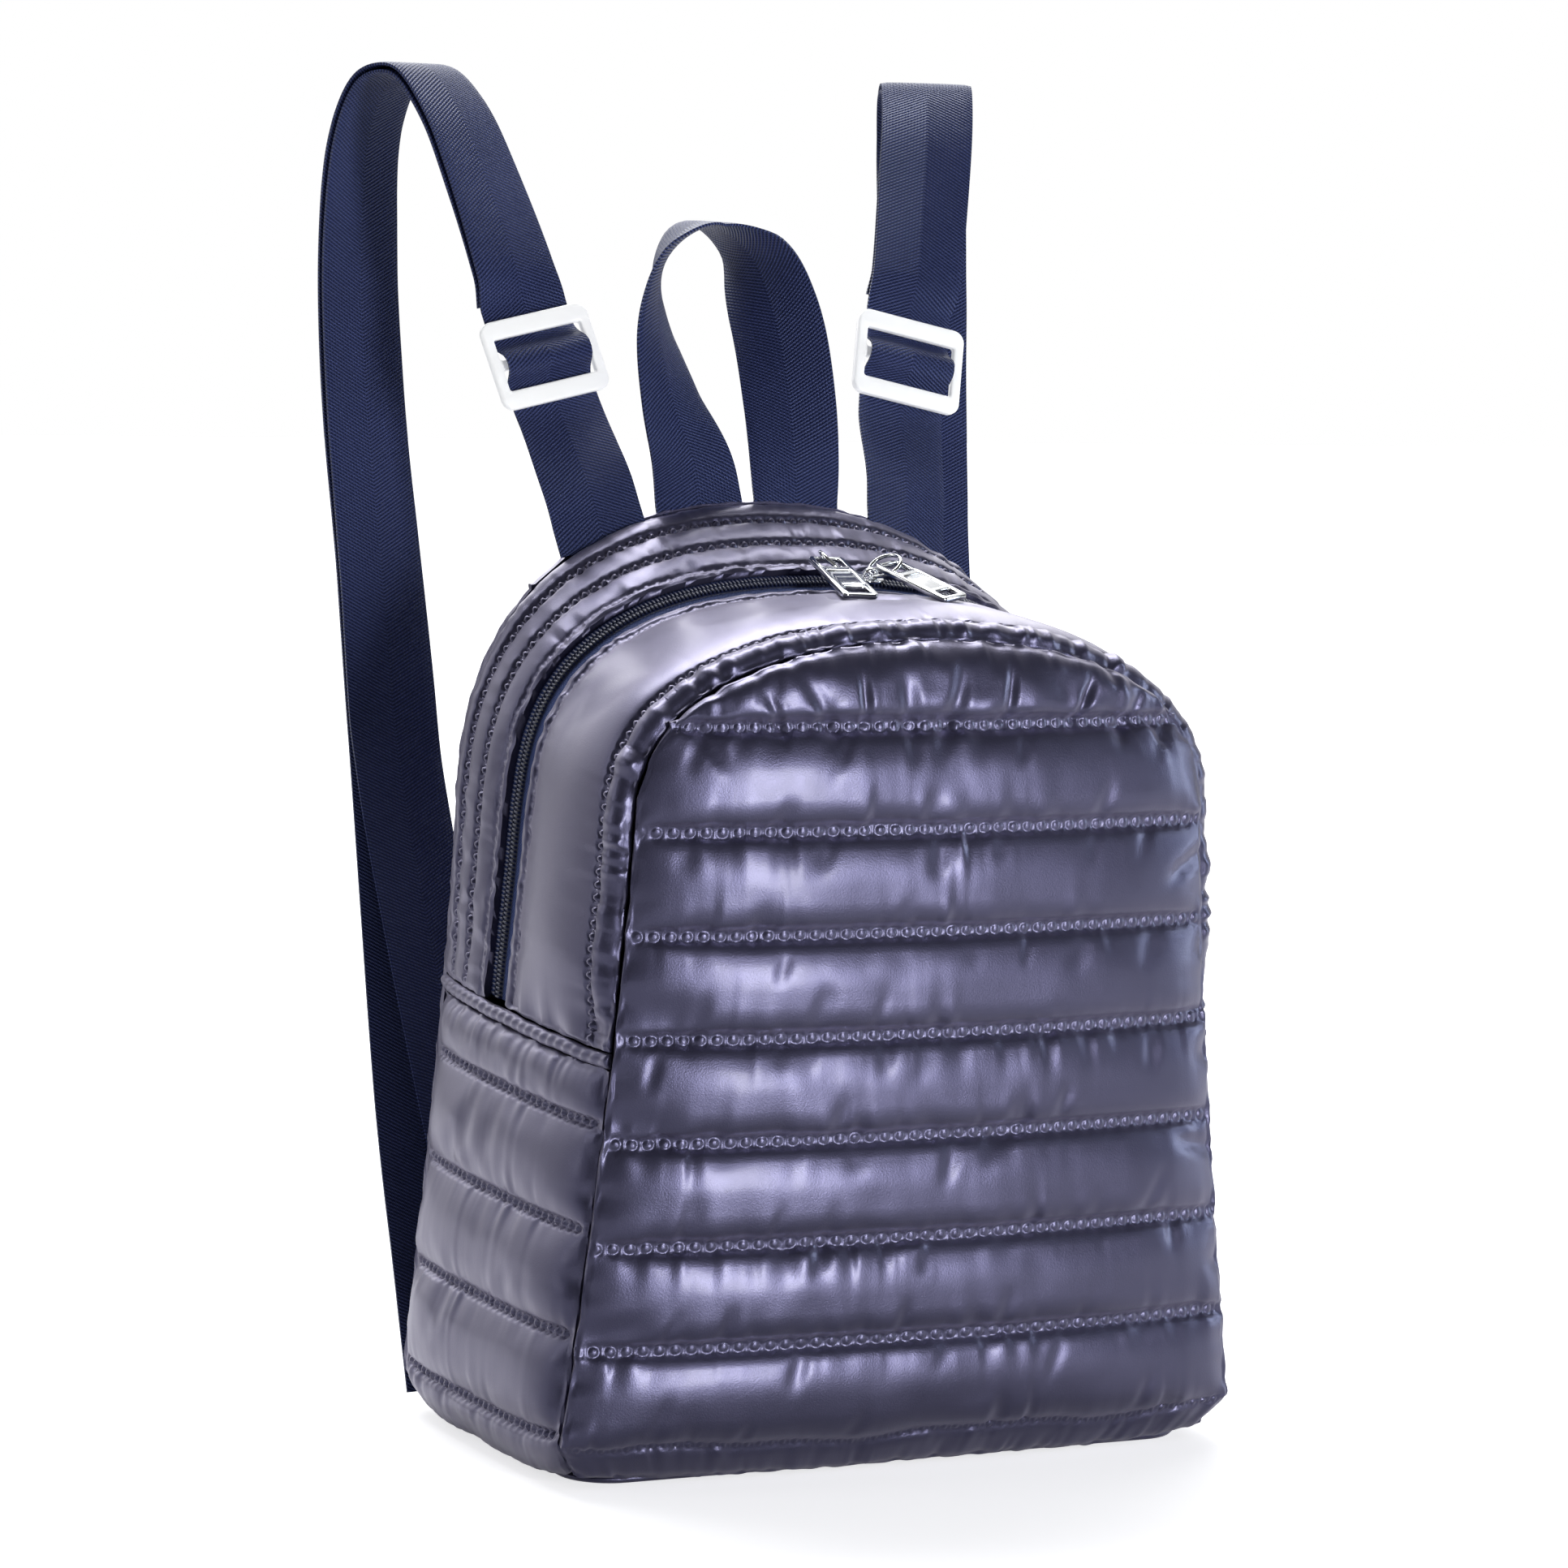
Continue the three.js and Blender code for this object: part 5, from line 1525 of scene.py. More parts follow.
@dataclass
class Zip:
    """Tapes, teeth, sliders, rings and pull tabs."""

    end: float = 0.995
    tape_thickness: float = 0.9
    tape_lap: float = 6.0
    chain_width: float = 6.0
    chain_thickness: float = 2.8
    pitch: float = 1.45
    spacing: float = 10.6
    shift: float = 15.0
    slider_length: float = 10.0
    slider_width: float = 8.4
    slider_plate: float = 1.1
    crown_height: float = 3.6
    ring_radius: float = 5.6
    ring_wire: float = 0.7
    tab_length: float = 31.0
    tab_width: float = 13.0

    @property
    def tape_top(self) -> float:
        """Level of the tapes above the skin."""
        return -CREASE - CLOTH - GAP

    @property
    def chain_top(self) -> float:
        """Level of the top of the teeth."""
        return self.tape_top + 1.6

    @property
    def scale(self) -> float:
        """Length of the zip line for one unit of u at the top."""
        ends = gusset_base(np.array([0.01, -0.01]), ZIP_CENTRE)
        return float(np.linalg.norm(ends[0] - ends[1])) / 0.02

    def slider_at(self, side: Side) -> float:
        """Place of a slider along the zip."""
        return (self.shift + side.value * self.spacing / 2) / self.scale

    def tape(self, name: str, d0: float, d1: float) -> bpy.types.Object:
        """One tape as a thin woven band.

        Args:
            name: name of the piece.
            d0: its edge nearer the front.
            d1: its edge nearer the back.

        Returns:
            The object.
        """
        us = np.linspace(-self.end, self.end, 360)
        profile = [(d0, -1), (d0, 0), *((d0 + (d1 - d0) * k / 5, 0) for k in range(1, 5)), (d1, 0), (d1, -1)]
        loops = []
        for d, face in profile:
            p, _, _, out = gusset_frame(us, d)
            loops.append(p + out * (self.tape_top + face * self.tape_thickness))
        loops = np.swapaxes(np.array(loops), 0, 1)
        points, quads, caps = tube_grid(loops)
        length = np.append(0, np.cumsum(np.linalg.norm(np.diff(loops[:, 1], axis=0), axis=-1)))
        uv = np.stack([np.tile([d for d, _ in profile], len(us)), np.repeat(length, len(profile))], axis=-1)
        obj = outward(mesh_object(name, points, quads, caps, uv))
        obj.data.set_sharp_from_angle(angle=math.radians(50))
        return obj

    def _tooth(self) -> tuple[Array, Array]:
        """One tooth with round edges: along, across and out in mm, from its root to its head."""
        stations = (
            (-1.7, 0.3, 0.55),
            (-1.55, 0.36, 0.8),
            (-0.4, 0.36, 0.86),
            (0.35, 0.34, 0.86),
            (0.75, 0.46, 0.8),
            (1.05, 0.4, 0.6),
            (1.15, 0.2, 0.3),
        )
        loops = []
        for y, half, high in stations:
            ring = ((-1, 0.45), (-0.7, 1), (0.7, 1), (1, 0.45), (1, -0.8), (-1, -0.8))
            loops.append([(half * a, y, high * b) for a, b in ring])
        points, quads, caps = tube_grid(np.array(loops))
        return points, np.concatenate([quads, np.column_stack([caps, caps[:, 2]])])

    def chain(self, side: Side) -> bpy.types.Object:
        """Teeth of one side of the sliders, on a dark cord under them.

        Args:
            side: left or right of the sliders.

        Returns:
            The object.
        """
        near = self.slider_at(side) + side.value * self.slider_length * 0.06 / self.scale
        us = np.linspace(near, side.value * self.end, 1200)
        line = gusset_base(us, ZIP_CENTRE)
        length = np.append(0, np.cumsum(np.linalg.norm(np.diff(line, axis=0), axis=-1)))
        points, quads = [], []
        tooth, faces = self._tooth()
        level = self.chain_top - 0.86
        total = 0
        for row in (-1, 1):
            at = np.arange(self.pitch * (0.75 if row > 0 else 0.25), length[-1] - 0.5, self.pitch)
            u = np.interp(at, length, us)
            p, along, deep, out = gusset_frame(u, ZIP_CENTRE)
            root = p + deep * (row * 1.25) + out * level
            tx, ty, tz = (tooth[None, :, k, None] for k in range(3))
            local = tx * along[:, None] - row * ty * deep[:, None] + tz * out[:, None]
            solid = (root[:, None] + local).reshape(-1, 3)
            numbers = total + np.arange(len(at))[:, None, None] * len(tooth) + faces[None]
            points.append(solid)
            quads.append(numbers.reshape(-1, 4))
            total += len(solid)
        teeth, cells = np.concatenate(points), np.concatenate(quads)
        split = cells[:, 2] == cells[:, 3]
        count = 240
        us = np.linspace(near, side.value * self.end, count)
        loops = []
        for off, level in (
            (-2.9, -2.3), (2.9, -2.3), (2.9, -1.3), (1.0, -1.0), (0, -0.75), (-1.0, -1.0), (-2.9, -1.3)
        ):
            p, _, _, out = gusset_frame(us, ZIP_CENTRE + off)
            loops.append(p + out * (self.chain_top + level))
        cord, cord_quads, caps = tube_grid(np.swapaxes(np.array(loops), 0, 1))
        start = len(teeth)
        tris = np.concatenate([cells[split][:, :3], caps + start])
        quads_all = np.concatenate([cells[~split], cord_quads + start])
        return outward(
            mesh_object(f"zip_chain_{side.word}_teeth", np.concatenate([teeth, cord]), quads_all, tris)
        )

    def slider(self, side: Side) -> bpy.types.Object:
        """Slider body with its two plates, post and crown.

        Args:
            side: left or right slider.

        Returns:
            The object.
        """
        u = self.slider_at(side)
        p, along, _, out = gusset_frame(u, ZIP_CENTRE)
        origin = p + out * self.chain_top
        x = along * -side.value
        y = unit(np.cross(out, x))
        length, width = self.slider_length, self.slider_width
        nose = []
        for k in range(48):
            a = 2 * math.pi * k / 48
            cx = math.copysign(abs(math.cos(a)) ** 0.75, math.cos(a)) * length / 2
            squeeze = 1 - 0.26 * smooth(-0.2, 1.0, -math.cos(a))
            nose.append(
                (cx, math.copysign(abs(math.sin(a)) ** 0.75, math.sin(a)) * width / 2 * float(squeeze))
            )
        outline = np.array(nose)
        parts = []
        for level in (GAP + self.slider_plate / 2, -self.chain_thickness - GAP - self.slider_plate / 2):
            part = plate("slider_plate", outline, [], self.slider_plate, 0.35)
            parts.append(placed(part, origin + out * level, x, y, out))
        post = plate(
            "slider_post", rounded_outline(2.2, 2.6, 0.6), [], self.chain_thickness + 2 * GAP + 0.6, 0.1
        )
        parts.append(placed(post, origin + x * length * 0.34 - out * self.chain_thickness / 2, x, y, out))
        loops = []
        for k in range(15):
            a = math.pi * k / 14
            c = np.array(
                [
                    -math.cos(a) * 2.45,
                    0,
                    GAP + self.slider_plate - 0.3 + math.sin(a) ** 0.75 * (self.crown_height - 0.45),
                ]
            )
            radial = np.array([-math.cos(a), 0, math.sin(a)])
            ring = []
            for j in range(10):
                b = 2 * math.pi * j / 10
                ring.append(c + radial * 0.55 * math.cos(b) + np.array([0, 1.25 * math.sin(b), 0]))
            loops.append(ring)
        points, quads, caps = tube_grid(np.array(loops))
        crown = outward(mesh_object("slider_crown", points / MM, quads, caps))
        parts.append(placed(crown, origin, x, y, out))
        return joined(f"zip_slider_{side.word}_body", parts)

    def ring(self, side: Side) -> bpy.types.Object:
        """Round wire ring on the slider, where its CAD node lies."""
        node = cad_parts[f"pull_ring_{side.word}"]
        points = np.array([v.co for v in node.data.vertices]) / MM
        centre = points.mean(0)
        axes = np.linalg.svd(points - centre)[2]
        loops = []
        for k in range(56):
            a = 2 * math.pi * k / 56
            radial = axes[0] * math.cos(a) + axes[1] * math.sin(a)
            loops.append(
                [
                    centre + radial * (
                        self.ring_radius + self.ring_wire * math.cos(2 * math.pi * j / 12)
                    ) + axes[2] * self.ring_wire * math.sin(2 * math.pi * j / 12)
                    for j in range(12)
                ]
            )
        points, quads, _ = tube_grid(np.array(loops), closed=True)
        return outward(mesh_object(f"pull_ring_{side.word}_wire", points, quads))

    def tab(self, side: Side) -> bpy.types.Object:
        """Flat pull tab with a raised rim, an eye and a window.

        Args:
            side: left or right tab.

        Returns:
            The object.
        """
        centre, along, across, out = plate_frame(f"pull_tab_{side.word}")
        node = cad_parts[f"pull_ring_{side.word}"]
        ring = np.mean([v.co for v in node.data.vertices], axis=0) / MM
        if float((ring - centre) @ along) > 0:
            along = -along
        if out[2] < 0:
            out = -out
        across = unit(np.cross(out, along))
        outline = rounded_outline(self.tab_length, self.tab_width, 1.6, 8)
        eye = rounded_outline(6.6, 9.0, 1.1) + [-self.tab_length / 2 + 1.6 + 3.3, 0]
        window = rounded_outline(4.4, 8.0, 1.0) + [self.tab_length / 2 - 2 - 2.2, 0]
        field_hole = rounded_outline(11.2, 9.6, 1.0) + [1.5, 0]
        body = plate("tab_body", outline, [eye, window], 1.25, 0.3)
        rim = plate("tab_rim", outline * 0.997, [eye * 1.0, window * 1.0, field_hole], 1.8, 0.4)
        parts = [placed(part, centre, along, across, out) for part in (body, rim)]
        return joined(f"pull_tab_{side.word}_plate", parts)

    def build(self) -> list[tuple[bpy.types.Object, str, Slot]]:
        """All zip pieces with their nodes and slots."""
        inner = self.chain_width / 2 + GAP
        front = self.tape("zip_tape_front_band", STRIP_END - self.tape_lap, ZIP_CENTRE - inner + 1.6)
        back = self.tape("zip_tape_back_band", ZIP_CENTRE + inner - 1.6, STRIP_END + ZIP_GAP + self.tape_lap)
        out = [(front, "zip_tape_front", Slot.TAPE), (back, "zip_tape_back", Slot.TAPE)]
        for side in Side:
            out.append((self.chain(side), f"zip_chain_{side.word}", Slot.TEETH))
            out.append((self.slider(side), f"zip_slider_{side.word}", Slot.METAL))
            out.append((self.ring(side), f"pull_ring_{side.word}", Slot.METAL))
            out.append((self.tab(side), f"pull_tab_{side.word}", Slot.METAL))
        return out


# Finishes


class Graph:
    """Short way to place and join the nodes of one tree."""

    def __init__(self, tree: bpy.types.NodeTree) -> None:
        """Keeps the tree that the nodes go into."""
        self.tree = tree

    def node(self, kind: str, settings: dict[str, object] | None = None, **inputs: object) -> bpy.types.Node:
        """Places a node.

        Args:
            kind: type name of the node without its prefix.
            settings: properties of the node.
            inputs: values or sockets by input name, with _ for a space, or i0, i1 by number.

        Returns:
            The node.
        """
        node = self.tree.nodes.new(kind if kind.startswith("Node") else f"ShaderNode{kind}")
        for key, value in (settings or {}).items():
            setattr(node, key, value)
        for key, value in inputs.items():
            numbered = key[0] == "i" and key[1:].isdigit()
            socket = node.inputs[int(key[1:])] if numbered else node.inputs[key.replace("_", " ")]
            if isinstance(value, bpy.types.NodeSocket):
                self.tree.links.new(value, socket)
            else:
                socket.default_value = value
        return node

    def math(self, operation: str, a: object, b: object = 0.0, c: object = 0.0) -> bpy.types.NodeSocket:
        """Result of a math node."""
        return self.node("Math", {"operation": operation}, i0=a, i1=b, i2=c).outputs[0]

    def ramp(
        self, value: object, low: float, high: float, to_low: float = 0.0, to_high: float = 1.0
    ) -> bpy.types.NodeSocket:
        """A value mapped smoothly from one range to another."""
        settings = {"interpolation_type": "SMOOTHSTEP"}
        return self.node("MapRange", settings, i0=value, i1=low, i2=high, i3=to_low, i4=to_high).outputs[0]

    def mix(self, factor: object, a: object, b: object) -> bpy.types.NodeSocket:
        """Mix of two colours."""
        node = self.node("Mix", {"data_type": "RGBA"}, i0=factor, i6=a, i7=b)
        return node.outputs[2]


def effect(
    name: str, inputs: Sequence[tuple[str, str, float]], outputs: Sequence[tuple[str, str]]
) -> tuple[bpy.types.NodeTree, Graph, dict, bpy.types.Node]:
    """Starts a shader node group with named sockets.

    Args:
        name: name of the group.
        inputs: name, kind and default of each input.
        outputs: name and kind of each output.

    Returns:
        The tree, its graph, its input sockets by name and its output node.
    """
    tree = bpy.data.node_groups.new(name, "ShaderNodeTree")
    for label, kind, default in inputs:
        socket = tree.interface.new_socket(label, in_out="INPUT", socket_type=f"NodeSocket{kind}")
        if kind == "Float":
            socket.default_value = default
    for label, kind in outputs:
        tree.interface.new_socket(label, in_out="OUTPUT", socket_type=f"NodeSocket{kind}")
    start, end = tree.nodes.new("NodeGroupInput"), tree.nodes.new("NodeGroupOutput")
    return tree, Graph(tree), {s.name: s for s in start.outputs}, end


class Effects:
    """The node groups that several finishes share, built once."""

    def __init__(self) -> None:
        """Builds the groups."""
        self.grain = self._grain()
        self.weave = self._weave()
        self.wear = self._wear()

    @staticmethod
    def _grain() -> bpy.types.NodeTree:
        """Fine grain: height and mask from two sizes of noise."""
        tree, g, i, end = effect(
            "fine_grain",
            [("Vector", "Vector", 0), ("Size", "Float", 900.0), ("Contrast", "Float", 0.5)],
            [("Height", "Float"), ("Mask", "Float")],
        )
        small = g.node("TexNoise", None, Vector=i["Vector"], Scale=i["Size"], Detail=3.0).outputs[0]
        large = g.node(
            "TexNoise", None, Vector=i["Vector"], Scale=g.math("MULTIPLY", i["Size"], 0.06), Detail=2.0
        ).outputs[0]
        tree.links.new(
            g.math("ADD", g.math("MULTIPLY", small, i["Contrast"]), g.math("MULTIPLY", large, 0.5)),
            end.inputs["Height"],
        )
        tree.links.new(g.ramp(large, 0.35, 0.68), end.inputs["Mask"])
        return tree

    @staticmethod
    def _weave() -> bpy.types.NodeTree:
        """Twill ribs that mirror about a centre line, with single yarns along each rib, and a mask of painted
        highlight on the crests.
        """
        sockets = [
            ("Vector", "Vector", 0),
            ("Rib", "Float", 0.0012),
            ("Slant", "Float", 0.55),
            ("Yarn", "Float", 0.0009),
            ("Mirror", "Float", 1.0),
        ]
        tree, g, i, end = effect("twill_weave", sockets, [("Height", "Float"), ("Highlight", "Float")])
        xyz = g.node("SeparateXYZ", None, Vector=i["Vector"])
        x, y = xyz.outputs[0], xyz.outputs[1]
        folded = g.math(
            "ADD",
            g.math("MULTIPLY", g.math("ABSOLUTE", x), i["Mirror"]),
            g.math("MULTIPLY", x, g.math("SUBTRACT", 1.0, i["Mirror"])),
        )
        phase = g.math("DIVIDE", g.math("ADD", y, g.math("MULTIPLY", folded, i["Slant"])), i["Rib"])
        rib = g.math("SINE", g.math("MULTIPLY", phase, 2 * math.pi))
        yarn = g.math("SINE", g.math("MULTIPLY", g.math("DIVIDE", x, i["Yarn"]), 2 * math.pi))
        height = g.math(
            "ADD", g.math("MULTIPLY", rib, 0.5), g.math("MULTIPLY", g.math("MULTIPLY", yarn, rib), 0.32)
        )
        tree.links.new(height, end.inputs["Height"])
        # Painted highlight mask: high on the rib crests, where light would catch.
        tree.links.new(g.ramp(height, -0.5, 0.75), end.inputs["Highlight"])
        return tree

    @staticmethod
    def _wear() -> bpy.types.NodeTree:
        """Slow change of tone over a piece, as dust and handling leave."""
        tree, g, i, end = effect(
            "soft_wear",
            [("Vector", "Vector", 0), ("Size", "Float", 25.0), ("Amount", "Float", 0.2)],
            [("Tone", "Float"), ("Roughness", "Float")],
        )
        slow = g.node("TexNoise", None, Vector=i["Vector"], Scale=i["Size"], Detail=2.0).outputs[0]
        centred = g.math("SUBTRACT", slow, 0.5)
        tree.links.new(g.math("ADD", 1.0, g.math("MULTIPLY", centred, i["Amount"])), end.inputs["Tone"])
        tree.links.new(g.math("MULTIPLY", g.math("ABSOLUTE", centred), i["Amount"]), end.inputs["Roughness"])
        return tree


@dataclass(frozen=True)
class Finish:
    """A finish with its colour and gloss."""

    name: str
    colour: tuple[float, float, float]
    roughness: float
    metallic: float = 0.0

    def start(self) -> tuple[bpy.types.Material, Graph, bpy.types.Node]:
        """New material with its graph and its main shader."""
        material = bpy.data.materials.new(self.name)
        material.use_nodes = True
        material.diffuse_color = (*self.colour, 1)
        g = Graph(material.node_tree)
        shader = material.node_tree.nodes["Principled BSDF"]
        shader.inputs["Base Color"].default_value = (*self.colour, 1)
        shader.inputs["Roughness"].default_value = self.roughness
        shader.inputs["Metallic"].default_value = self.metallic
        return material, g, shader

    @staticmethod
    def join(g: Graph, shader: bpy.types.Node, **sockets: object) -> None:
        """Links or sets inputs of the main shader by name, with _ for a space."""
        for key, value in sockets.items():
            socket = shader.inputs[key.replace("_", " ")]
            if isinstance(value, bpy.types.NodeSocket):
                g.tree.links.new(value, socket)
            else:
                socket.default_value = value


@dataclass(frozen=True)
class PuffedNylon(Finish):
    """Pearly coated nylon: deep tone head on, a painted lilac sheen towards grazing angles, fine metallic
    grain.
    """

    # Painted sheen: the lighter lilac colour that the base turns to at grazing angles.
    grazing_sheen: tuple[float, float, float] = (0.38, 0.36, 0.48)
    grain: float = 1900.0

    def build(self, effects: Effects) -> bpy.types.Material:
        """Builds the material.

        Args:
            effects: the shared node groups.

        Returns:
            The material.
        """
        material, g, shader = self.start()
        where = g.node("TexCoord").outputs["Object"]
        grain = g.node("Group", {"node_tree": effects.grain}, Vector=where, Size=self.grain, Contrast=0.6)
        wear = g.node("Group", {"node_tree": effects.wear}, Vector=where, Size=16.0, Amount=0.22)
        # Painted sheen: the colour turns from the deep tone head on to the lighter lilac towards grazing
        # angles.
        facing = g.node("LayerWeight", None, Blend=0.35).outputs["Facing"]
        colour = g.mix(g.ramp(facing, 0.05, 0.95), (*self.colour, 1), (*self.grazing_sheen, 1))
        toned = g.node("HueSaturation", None, Value=wear.outputs["Tone"], Color=colour).outputs[0]
        rough = g.math(
            "ADD",
            g.math("ADD", self.roughness, g.math("MULTIPLY", grain.outputs["Mask"], 0.03)),
            wear.outputs["Roughness"],
        )
        bump = g.node("Bump", None, Strength=0.55, Distance=0.0002, Height=grain.outputs["Height"]).outputs[0]
        self.join(
            g, shader, Base_Color=toned, Roughness=rough, Normal=bump, Coat_Weight=0.22, Coat_Roughness=0.2
        )
        return material


@dataclass(frozen=True)
class Woven(Finish):
    """Woven band: dark yarn with twill ribs, and a painted highlight along the rib crests."""

    # Painted highlight: the colour of the rib crests.
    light: tuple[float, float, float] = (0.07, 0.09, 0.24)
    rib: float = 0.00125
    slant: float = 0.55
    yarn: float = 0.0011
    mirror: float = 1.0
    depth: float = 0.0004

    def build(self, effects: Effects) -> bpy.types.Material:
        """Builds the material.

        Args:
            effects: the shared node groups.

        Returns:
            The material.
        """
        material, g, shader = self.start()
        cloth = g.node("UVMap", {"uv_map": "cloth"}).outputs[0]
        weave = g.node(
            "Group",
            {"node_tree": effects.weave},
            Vector=cloth,
            Rib=self.rib,
            Slant=self.slant,
            Yarn=self.yarn,
            Mirror=self.mirror,
        )
        wear = g.node(
            "Group",
            {"node_tree": effects.wear},
            Vector=g.node("TexCoord").outputs["Object"],
            Size=30.0,
            Amount=0.5,
        )
        # Painted highlight: the rib crests take the lighter colour.
        colour = g.mix(g.math("MULTIPLY", weave.outputs["Highlight"], 0.8), (*self.colour, 1), (*self.light, 1))
        toned = g.node("HueSaturation", None, Value=wear.outputs["Tone"], Color=colour).outputs[0]
        bump = g.node(
            "Bump", None, Strength=0.8, Distance=self.depth, Height=weave.outputs["Height"]
        ).outputs[0]
        self.join(
            g,
            shader,
            Base_Color=toned,
            Normal=bump,
            Specular_IOR_Level=0.35,
            Specular_Tint=(0.5, 0.6, 1.0, 1),
        )
        return material


@dataclass(frozen=True)
class Moulded(Finish):
    """Moulded plastic or plated metal with faint unevenness, and an optional painted glow from emission."""

    coat: float = 0.0
    depth: float = 0.00004
    # Strength of a painted glow: the surface emits its own colour.
    painted_glow: float = 0.0

    def build(self, effects: Effects) -> bpy.types.Material:
        """Builds the material.

        Args:
            effects: the shared node groups.

        Returns:
            The material.
        """
        material, g, shader = self.start()
        where = g.node("TexCoord").outputs["Object"]
        grain = g.node("Group", {"node_tree": effects.grain}, Vector=where, Size=1500.0, Contrast=0.5)
        wear = g.node("Group", {"node_tree": effects.wear}, Vector=where, Size=180.0, Amount=0.12)
        colour = g.node("HueSaturation", None, Value=wear.outputs["Tone"], Color=(*self.colour, 1)).outputs[0]
        rough = g.math("ADD", self.roughness, wear.outputs["Roughness"])
        bump = g.node(
            "Bump", None, Strength=0.15, Distance=self.depth, Height=grain.outputs["Height"]
        ).outputs[0]
        self.join(
            g,
            shader,
            Base_Color=colour,
            Roughness=rough,
            Normal=bump,
            Coat_Weight=self.coat,
            Coat_Roughness=0.08,
            # Painted glow: emission in the piece's own colour.
            Emission_Color=(*self.colour, 1),
            Emission_Strength=self.painted_glow,
        )
        return material


# Studio


@dataclass
class Studio:
    """Pale floor, soft lights and the camera at the photograph's angle."""

    focal_pixels: float = 7000.0
    frame_pixels: float = 1932.0
    azimuth: float = -27.0
    elevation: float = 6.25
    roll: float = 1.883
    distance: float = 1.876
    target: tuple[float, float, float] = (-0.0184, 0.0, 0.2168)

    def camera(self) -> None:
        """Places the camera."""
        data = bpy.data.cameras.new("camera")
        data.sensor_width = 36
        data.lens = self.focal_pixels / self.frame_pixels * 36
        az, el, roll = (math.radians(v) for v in (self.azimuth, self.elevation, self.roll))
        back = Vector((math.sin(az) * math.cos(el), -math.cos(az) * math.cos(el), math.sin(el)))
        right = (-back).cross(Vector((0, 0, 1))).normalized()
        up = right.cross(-back)
        across = right * math.cos(roll) + up * math.sin(roll)
        over = up * math.cos(roll) - right * math.sin(roll)
        place = Vector(self.target) + back * self.distance
        camera = bpy.data.objects.new("camera", data)
        camera.matrix_world = Matrix(
            [[across[k], over[k], back[k], place[k]] for k in range(3)] + [[0, 0, 0, 1]]
        )
        bpy.context.scene.collection.objects.link(camera)
        bpy.context.scene.camera = camera

    @staticmethod
    def light(
        name: str,
        place: Sequence[float],
        aim: Sequence[float],
        size: tuple[float, float],
        power: float,
        colour: Sequence[float],
    ) -> None:
        """Adds one soft area light.

        Args:
            name: name of the light.
            place: where it stands, in metres.
            aim: what it points at, in metres.
            size: its width and height in metres.
            power: its power in watts.
            colour: its colour.
        """
        data = bpy.data.lights.new(name, "AREA")
        data.shape = "RECTANGLE"
        data.size, data.size_y = size
        data.energy = power
        data.color = tuple(colour)
        lamp = bpy.data.objects.new(name, data)
        lamp.location = place
        lamp.rotation_euler = (Vector(aim) - Vector(place)).to_track_quat("-Z", "Y").to_euler()
        bpy.context.scene.collection.objects.link(lamp)

    def lights(self) -> None:
        """Places the soft boxes."""
        middle = (0, 0, 0.2)
        self.light("key", (0.42, -1.97, 0.34), middle, (0.32, 0.7), 24, (1, 1, 1))
        self.light("top", (0.15, 1.0, 2.0), middle, (1.9, 0.9), 41, (1, 1, 1))
        self.light("behind", (0.35, 1.7, 1.0), middle, (1.8, 0.9), 8, (1, 1, 1))
        self.light("left", (-1.9, 0.4, 0.9), middle, (0.5, 1.4), 4, (1, 1, 1))
        self.light("right", (1.95, -0.6, 0.6), middle, (0.35, 1.1), 8, (0.75, 0.87, 1))

    def surroundings(self) -> None:
        """White behind the bag, dim in front of it."""
        world = bpy.data.worlds.new("studio")
        bpy.context.scene.world = world
        world.use_nodes = True
        g = Graph(world.node_tree)
        g.tree.nodes.clear()
        way = g.node("SeparateXYZ", None, Vector=g.node("TexCoord").outputs["Generated"])
        high = g.ramp(way.outputs[2], -0.15, 0.4, 0.26, 1.8)
        behind = g.math("MULTIPLY", g.ramp(way.outputs[1], -0.1, 0.9, 0.03, 0.65), high)
        ahead = g.math(
            "MULTIPLY", g.ramp(way.outputs[1], -0.2, -0.8), g.ramp(way.outputs[0], 0.6, 0.1, 0.02, 0.1)
        )
        behind = g.math("ADD", behind, ahead)
        seen = g.node("LightPath").outputs["Is Camera Ray"]
        strength = g.math("MAXIMUM", behind, seen)
        shader = g.node("Background", None, Color=(1, 1, 1, 1), Strength=strength)
        g.node("OutputWorld", None, Surface=shader.outputs[0])

    def floor(self, effects: Effects) -> None:
        """Lays the pale floor: it glows white to the camera, greyer near the bag as painted shade, and glows
        faintly onto the bag.
        """
        n = 9
        xs = np.linspace(-6000, 6000, n)
        points = np.array([(x, y, -0.05) for y in xs for x in xs])
        plane = mesh_object("floor", points, grid_quads(n, n))
        material, g, shader = Finish("pale_floor", (0.6, 0.6, 0.61), 0.6).start()
        grain = g.node(
            "Group",
            {"node_tree": effects.grain},
            Vector=g.node("TexCoord").outputs["Object"],
            Size=40.0,
            Contrast=0.3,
        )
        rough = g.ramp(grain.outputs["Mask"], 0, 1, 0.55, 0.65)
        away = g.node(
            "VectorMath", {"operation": "LENGTH"}, i0=g.node("TexCoord").outputs["Object"]
        ).outputs["Value"]
        # Painted shade: the floor's glow is greyer near the bag and white farther out.
        painted_glow = g.ramp(away, 0.25, 1.3)
        white = g.mix(painted_glow, (0.7, 0.7, 0.71, 1), (1, 1, 1, 1))
        seen = g.node("LightPath").outputs["Is Camera Ray"]
        # Painted light: the floor emits, fully to the camera and faintly to everything else.
        Finish.join(
            g, shader, Roughness=rough, Emission_Color=white, Emission_Strength=g.ramp(seen, 0, 1, 0.12, 1.0)
        )
        plane.data.materials.append(material)


# Bringing it together


def dress(obj: bpy.types.Object, material: bpy.types.Material, slot: Slot, *nodes: str) -> bpy.types.Object:
    """Gives a piece its material and its body, hides the CAD nodes that it stands for and logs them."""
    obj.data.materials.clear()
    obj.data.materials.append(material)
    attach(obj, "root")
    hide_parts(*nodes)
    LOG.info("%s stands for %s", obj.name, ", ".join(nodes))
    return obj


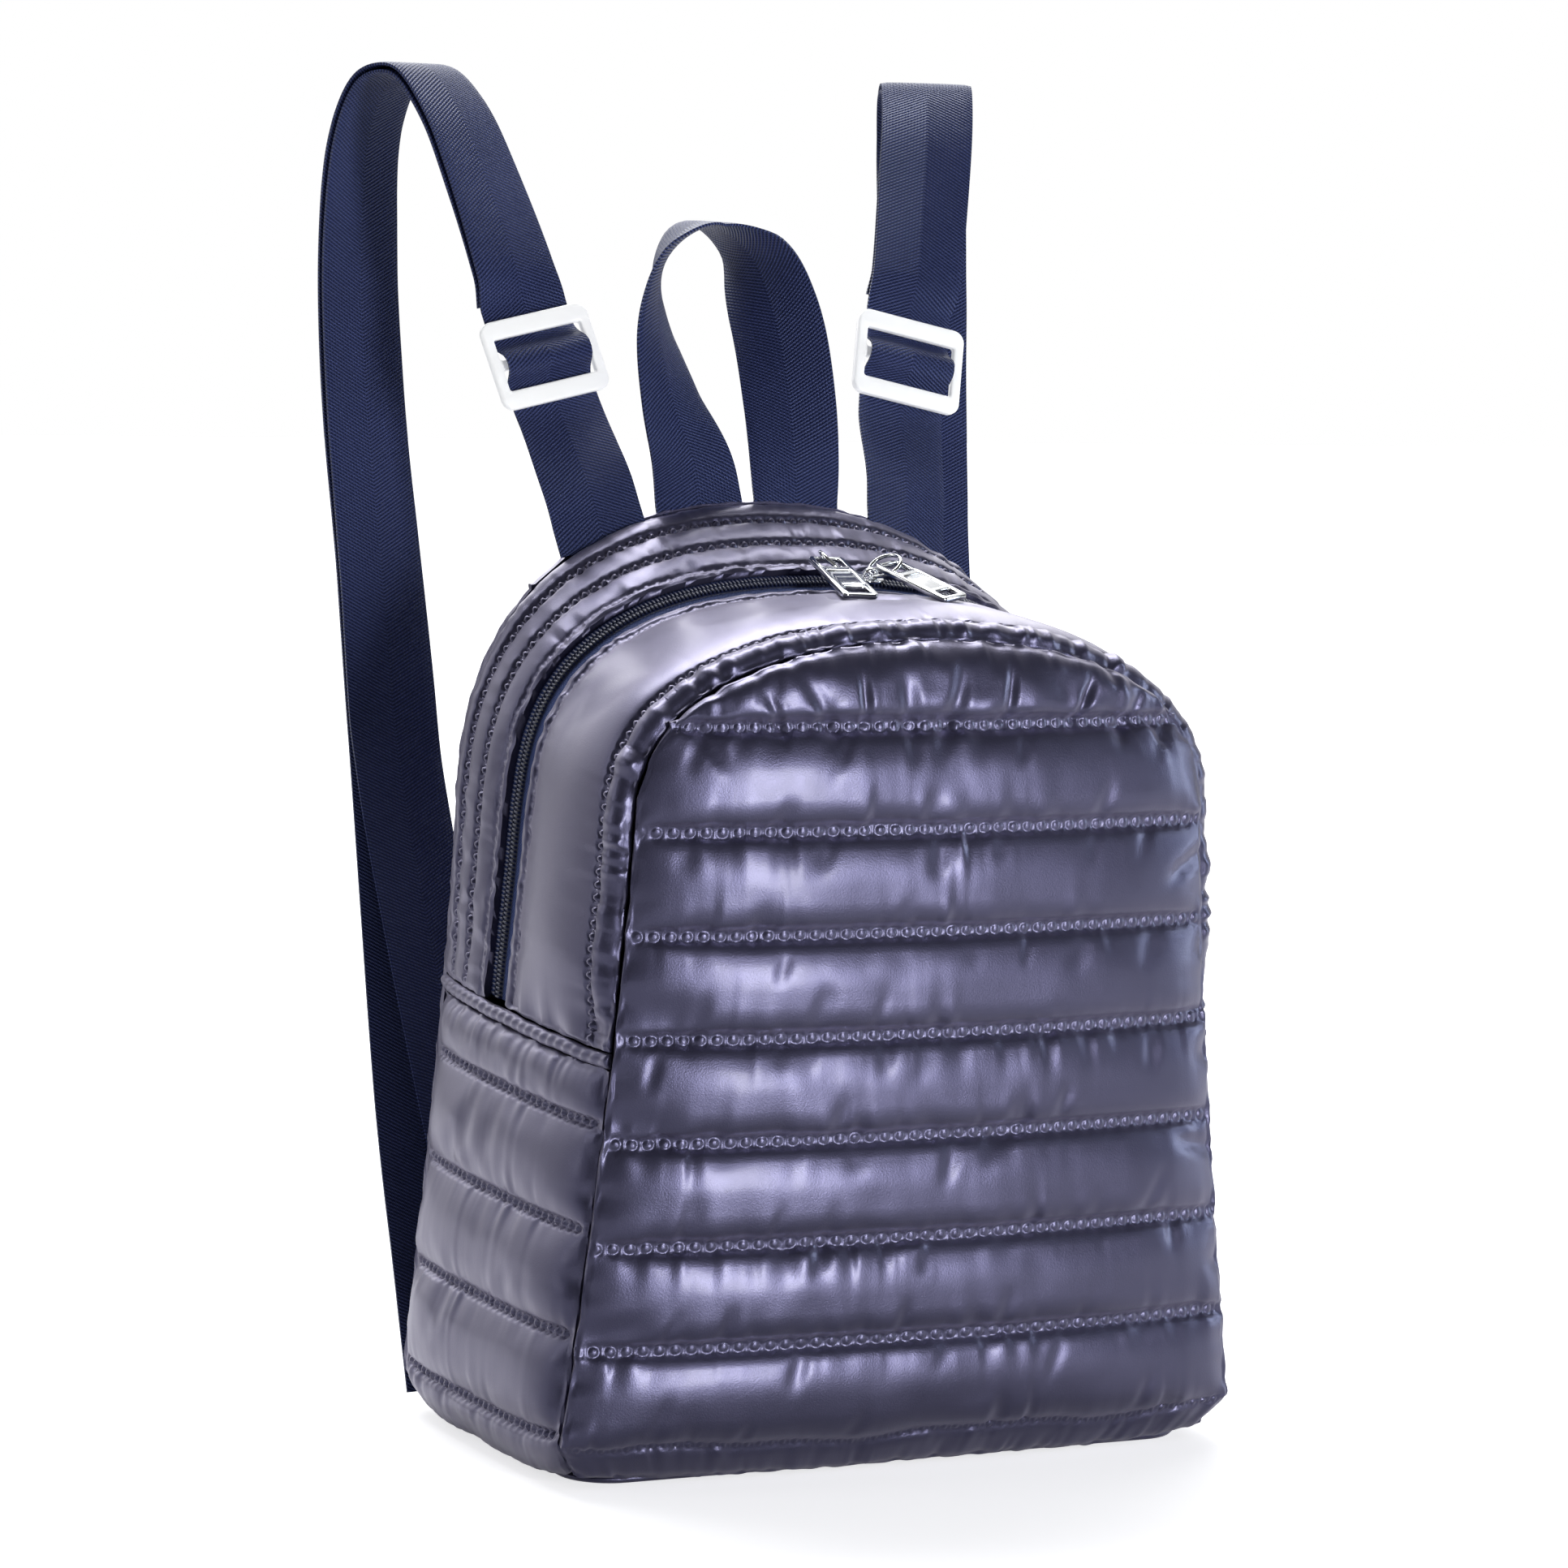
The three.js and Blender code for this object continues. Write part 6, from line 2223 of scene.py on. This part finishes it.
def finishes(effects: Effects) -> dict[Slot, bpy.types.Material]:
    """All finishes by slot."""
    return {
        Slot.NYLON: PuffedNylon("quilted_nylon_look", (0.074, 0.072, 0.132), 0.35, 0.8).build(effects),
        # Webbing and tape carry a painted highlight on their rib crests.
        Slot.WEBBING: Woven("webbing_look", (0.008, 0.011, 0.04), 0.38).build(effects),
        Slot.TAPE: Woven(
            "zip_tape_look",
            (0.03, 0.045, 0.14),
            0.7,
            # light is the painted highlight colour of the tape's rib crests.
            light=(0.1, 0.14, 0.34),
            rib=0.0011,
            slant=1.0,
            yarn=0.0007,
            mirror=0.0,
        ).build(effects),
        Slot.TEETH: Moulded("zip_teeth_look", (0.012, 0.018, 0.06), 0.3, coat=0.25).build(effects),
        Slot.METAL: Moulded("polished_metal_look", (0.82, 0.83, 0.85), 0.08, 1.0).build(effects),
        # The white plastic carries a painted glow.
        Slot.PLASTIC: Moulded(
            "white_plastic_look", (0.93, 0.94, 0.95), 0.26, coat=0.4, painted_glow=0.3
        ).build(effects),
    }


def main() -> None:
    """Builds the studio and every piece of the bag."""
    scene = bpy.context.scene
    scene.view_settings.view_transform = "Standard"
    effects = Effects()
    looks = finishes(effects)
    studio = Studio()
    studio.camera()
    studio.lights()
    studio.surroundings()
    studio.floor(effects)

    body = BagBody()
    table = ClothTable()
    panels = body.panels()
    for panel in panels:
        panel.lay(table)
    table.run()
    LOG.info("puffed %d sheets", len(table.sheets))
    for panel in panels:
        dress(panel.build(), looks[Slot.NYLON], Slot.NYLON, panel.node)
    for side in Side:
        dress(body.binding(side), looks[Slot.NYLON], Slot.NYLON, f"side_binding_{side.word}")
    dress(body.base(), looks[Slot.NYLON], Slot.NYLON, "base_panel")

    dress(CarryHandle().build(), looks[Slot.WEBBING], Slot.WEBBING, "carry_handle")
    for side in Side:
        strap = ShoulderStrap(side)
        for band, node in strap.bands():
            dress(band, looks[Slot.WEBBING], Slot.WEBBING, node)
        dress(strap.slider(), looks[Slot.PLASTIC], Slot.PLASTIC, f"strap_slider_{side.word}")
    for piece, node, slot in Zip().build():
        dress(piece, looks[slot], slot, node)


if __name__ == "__main__":
    main()
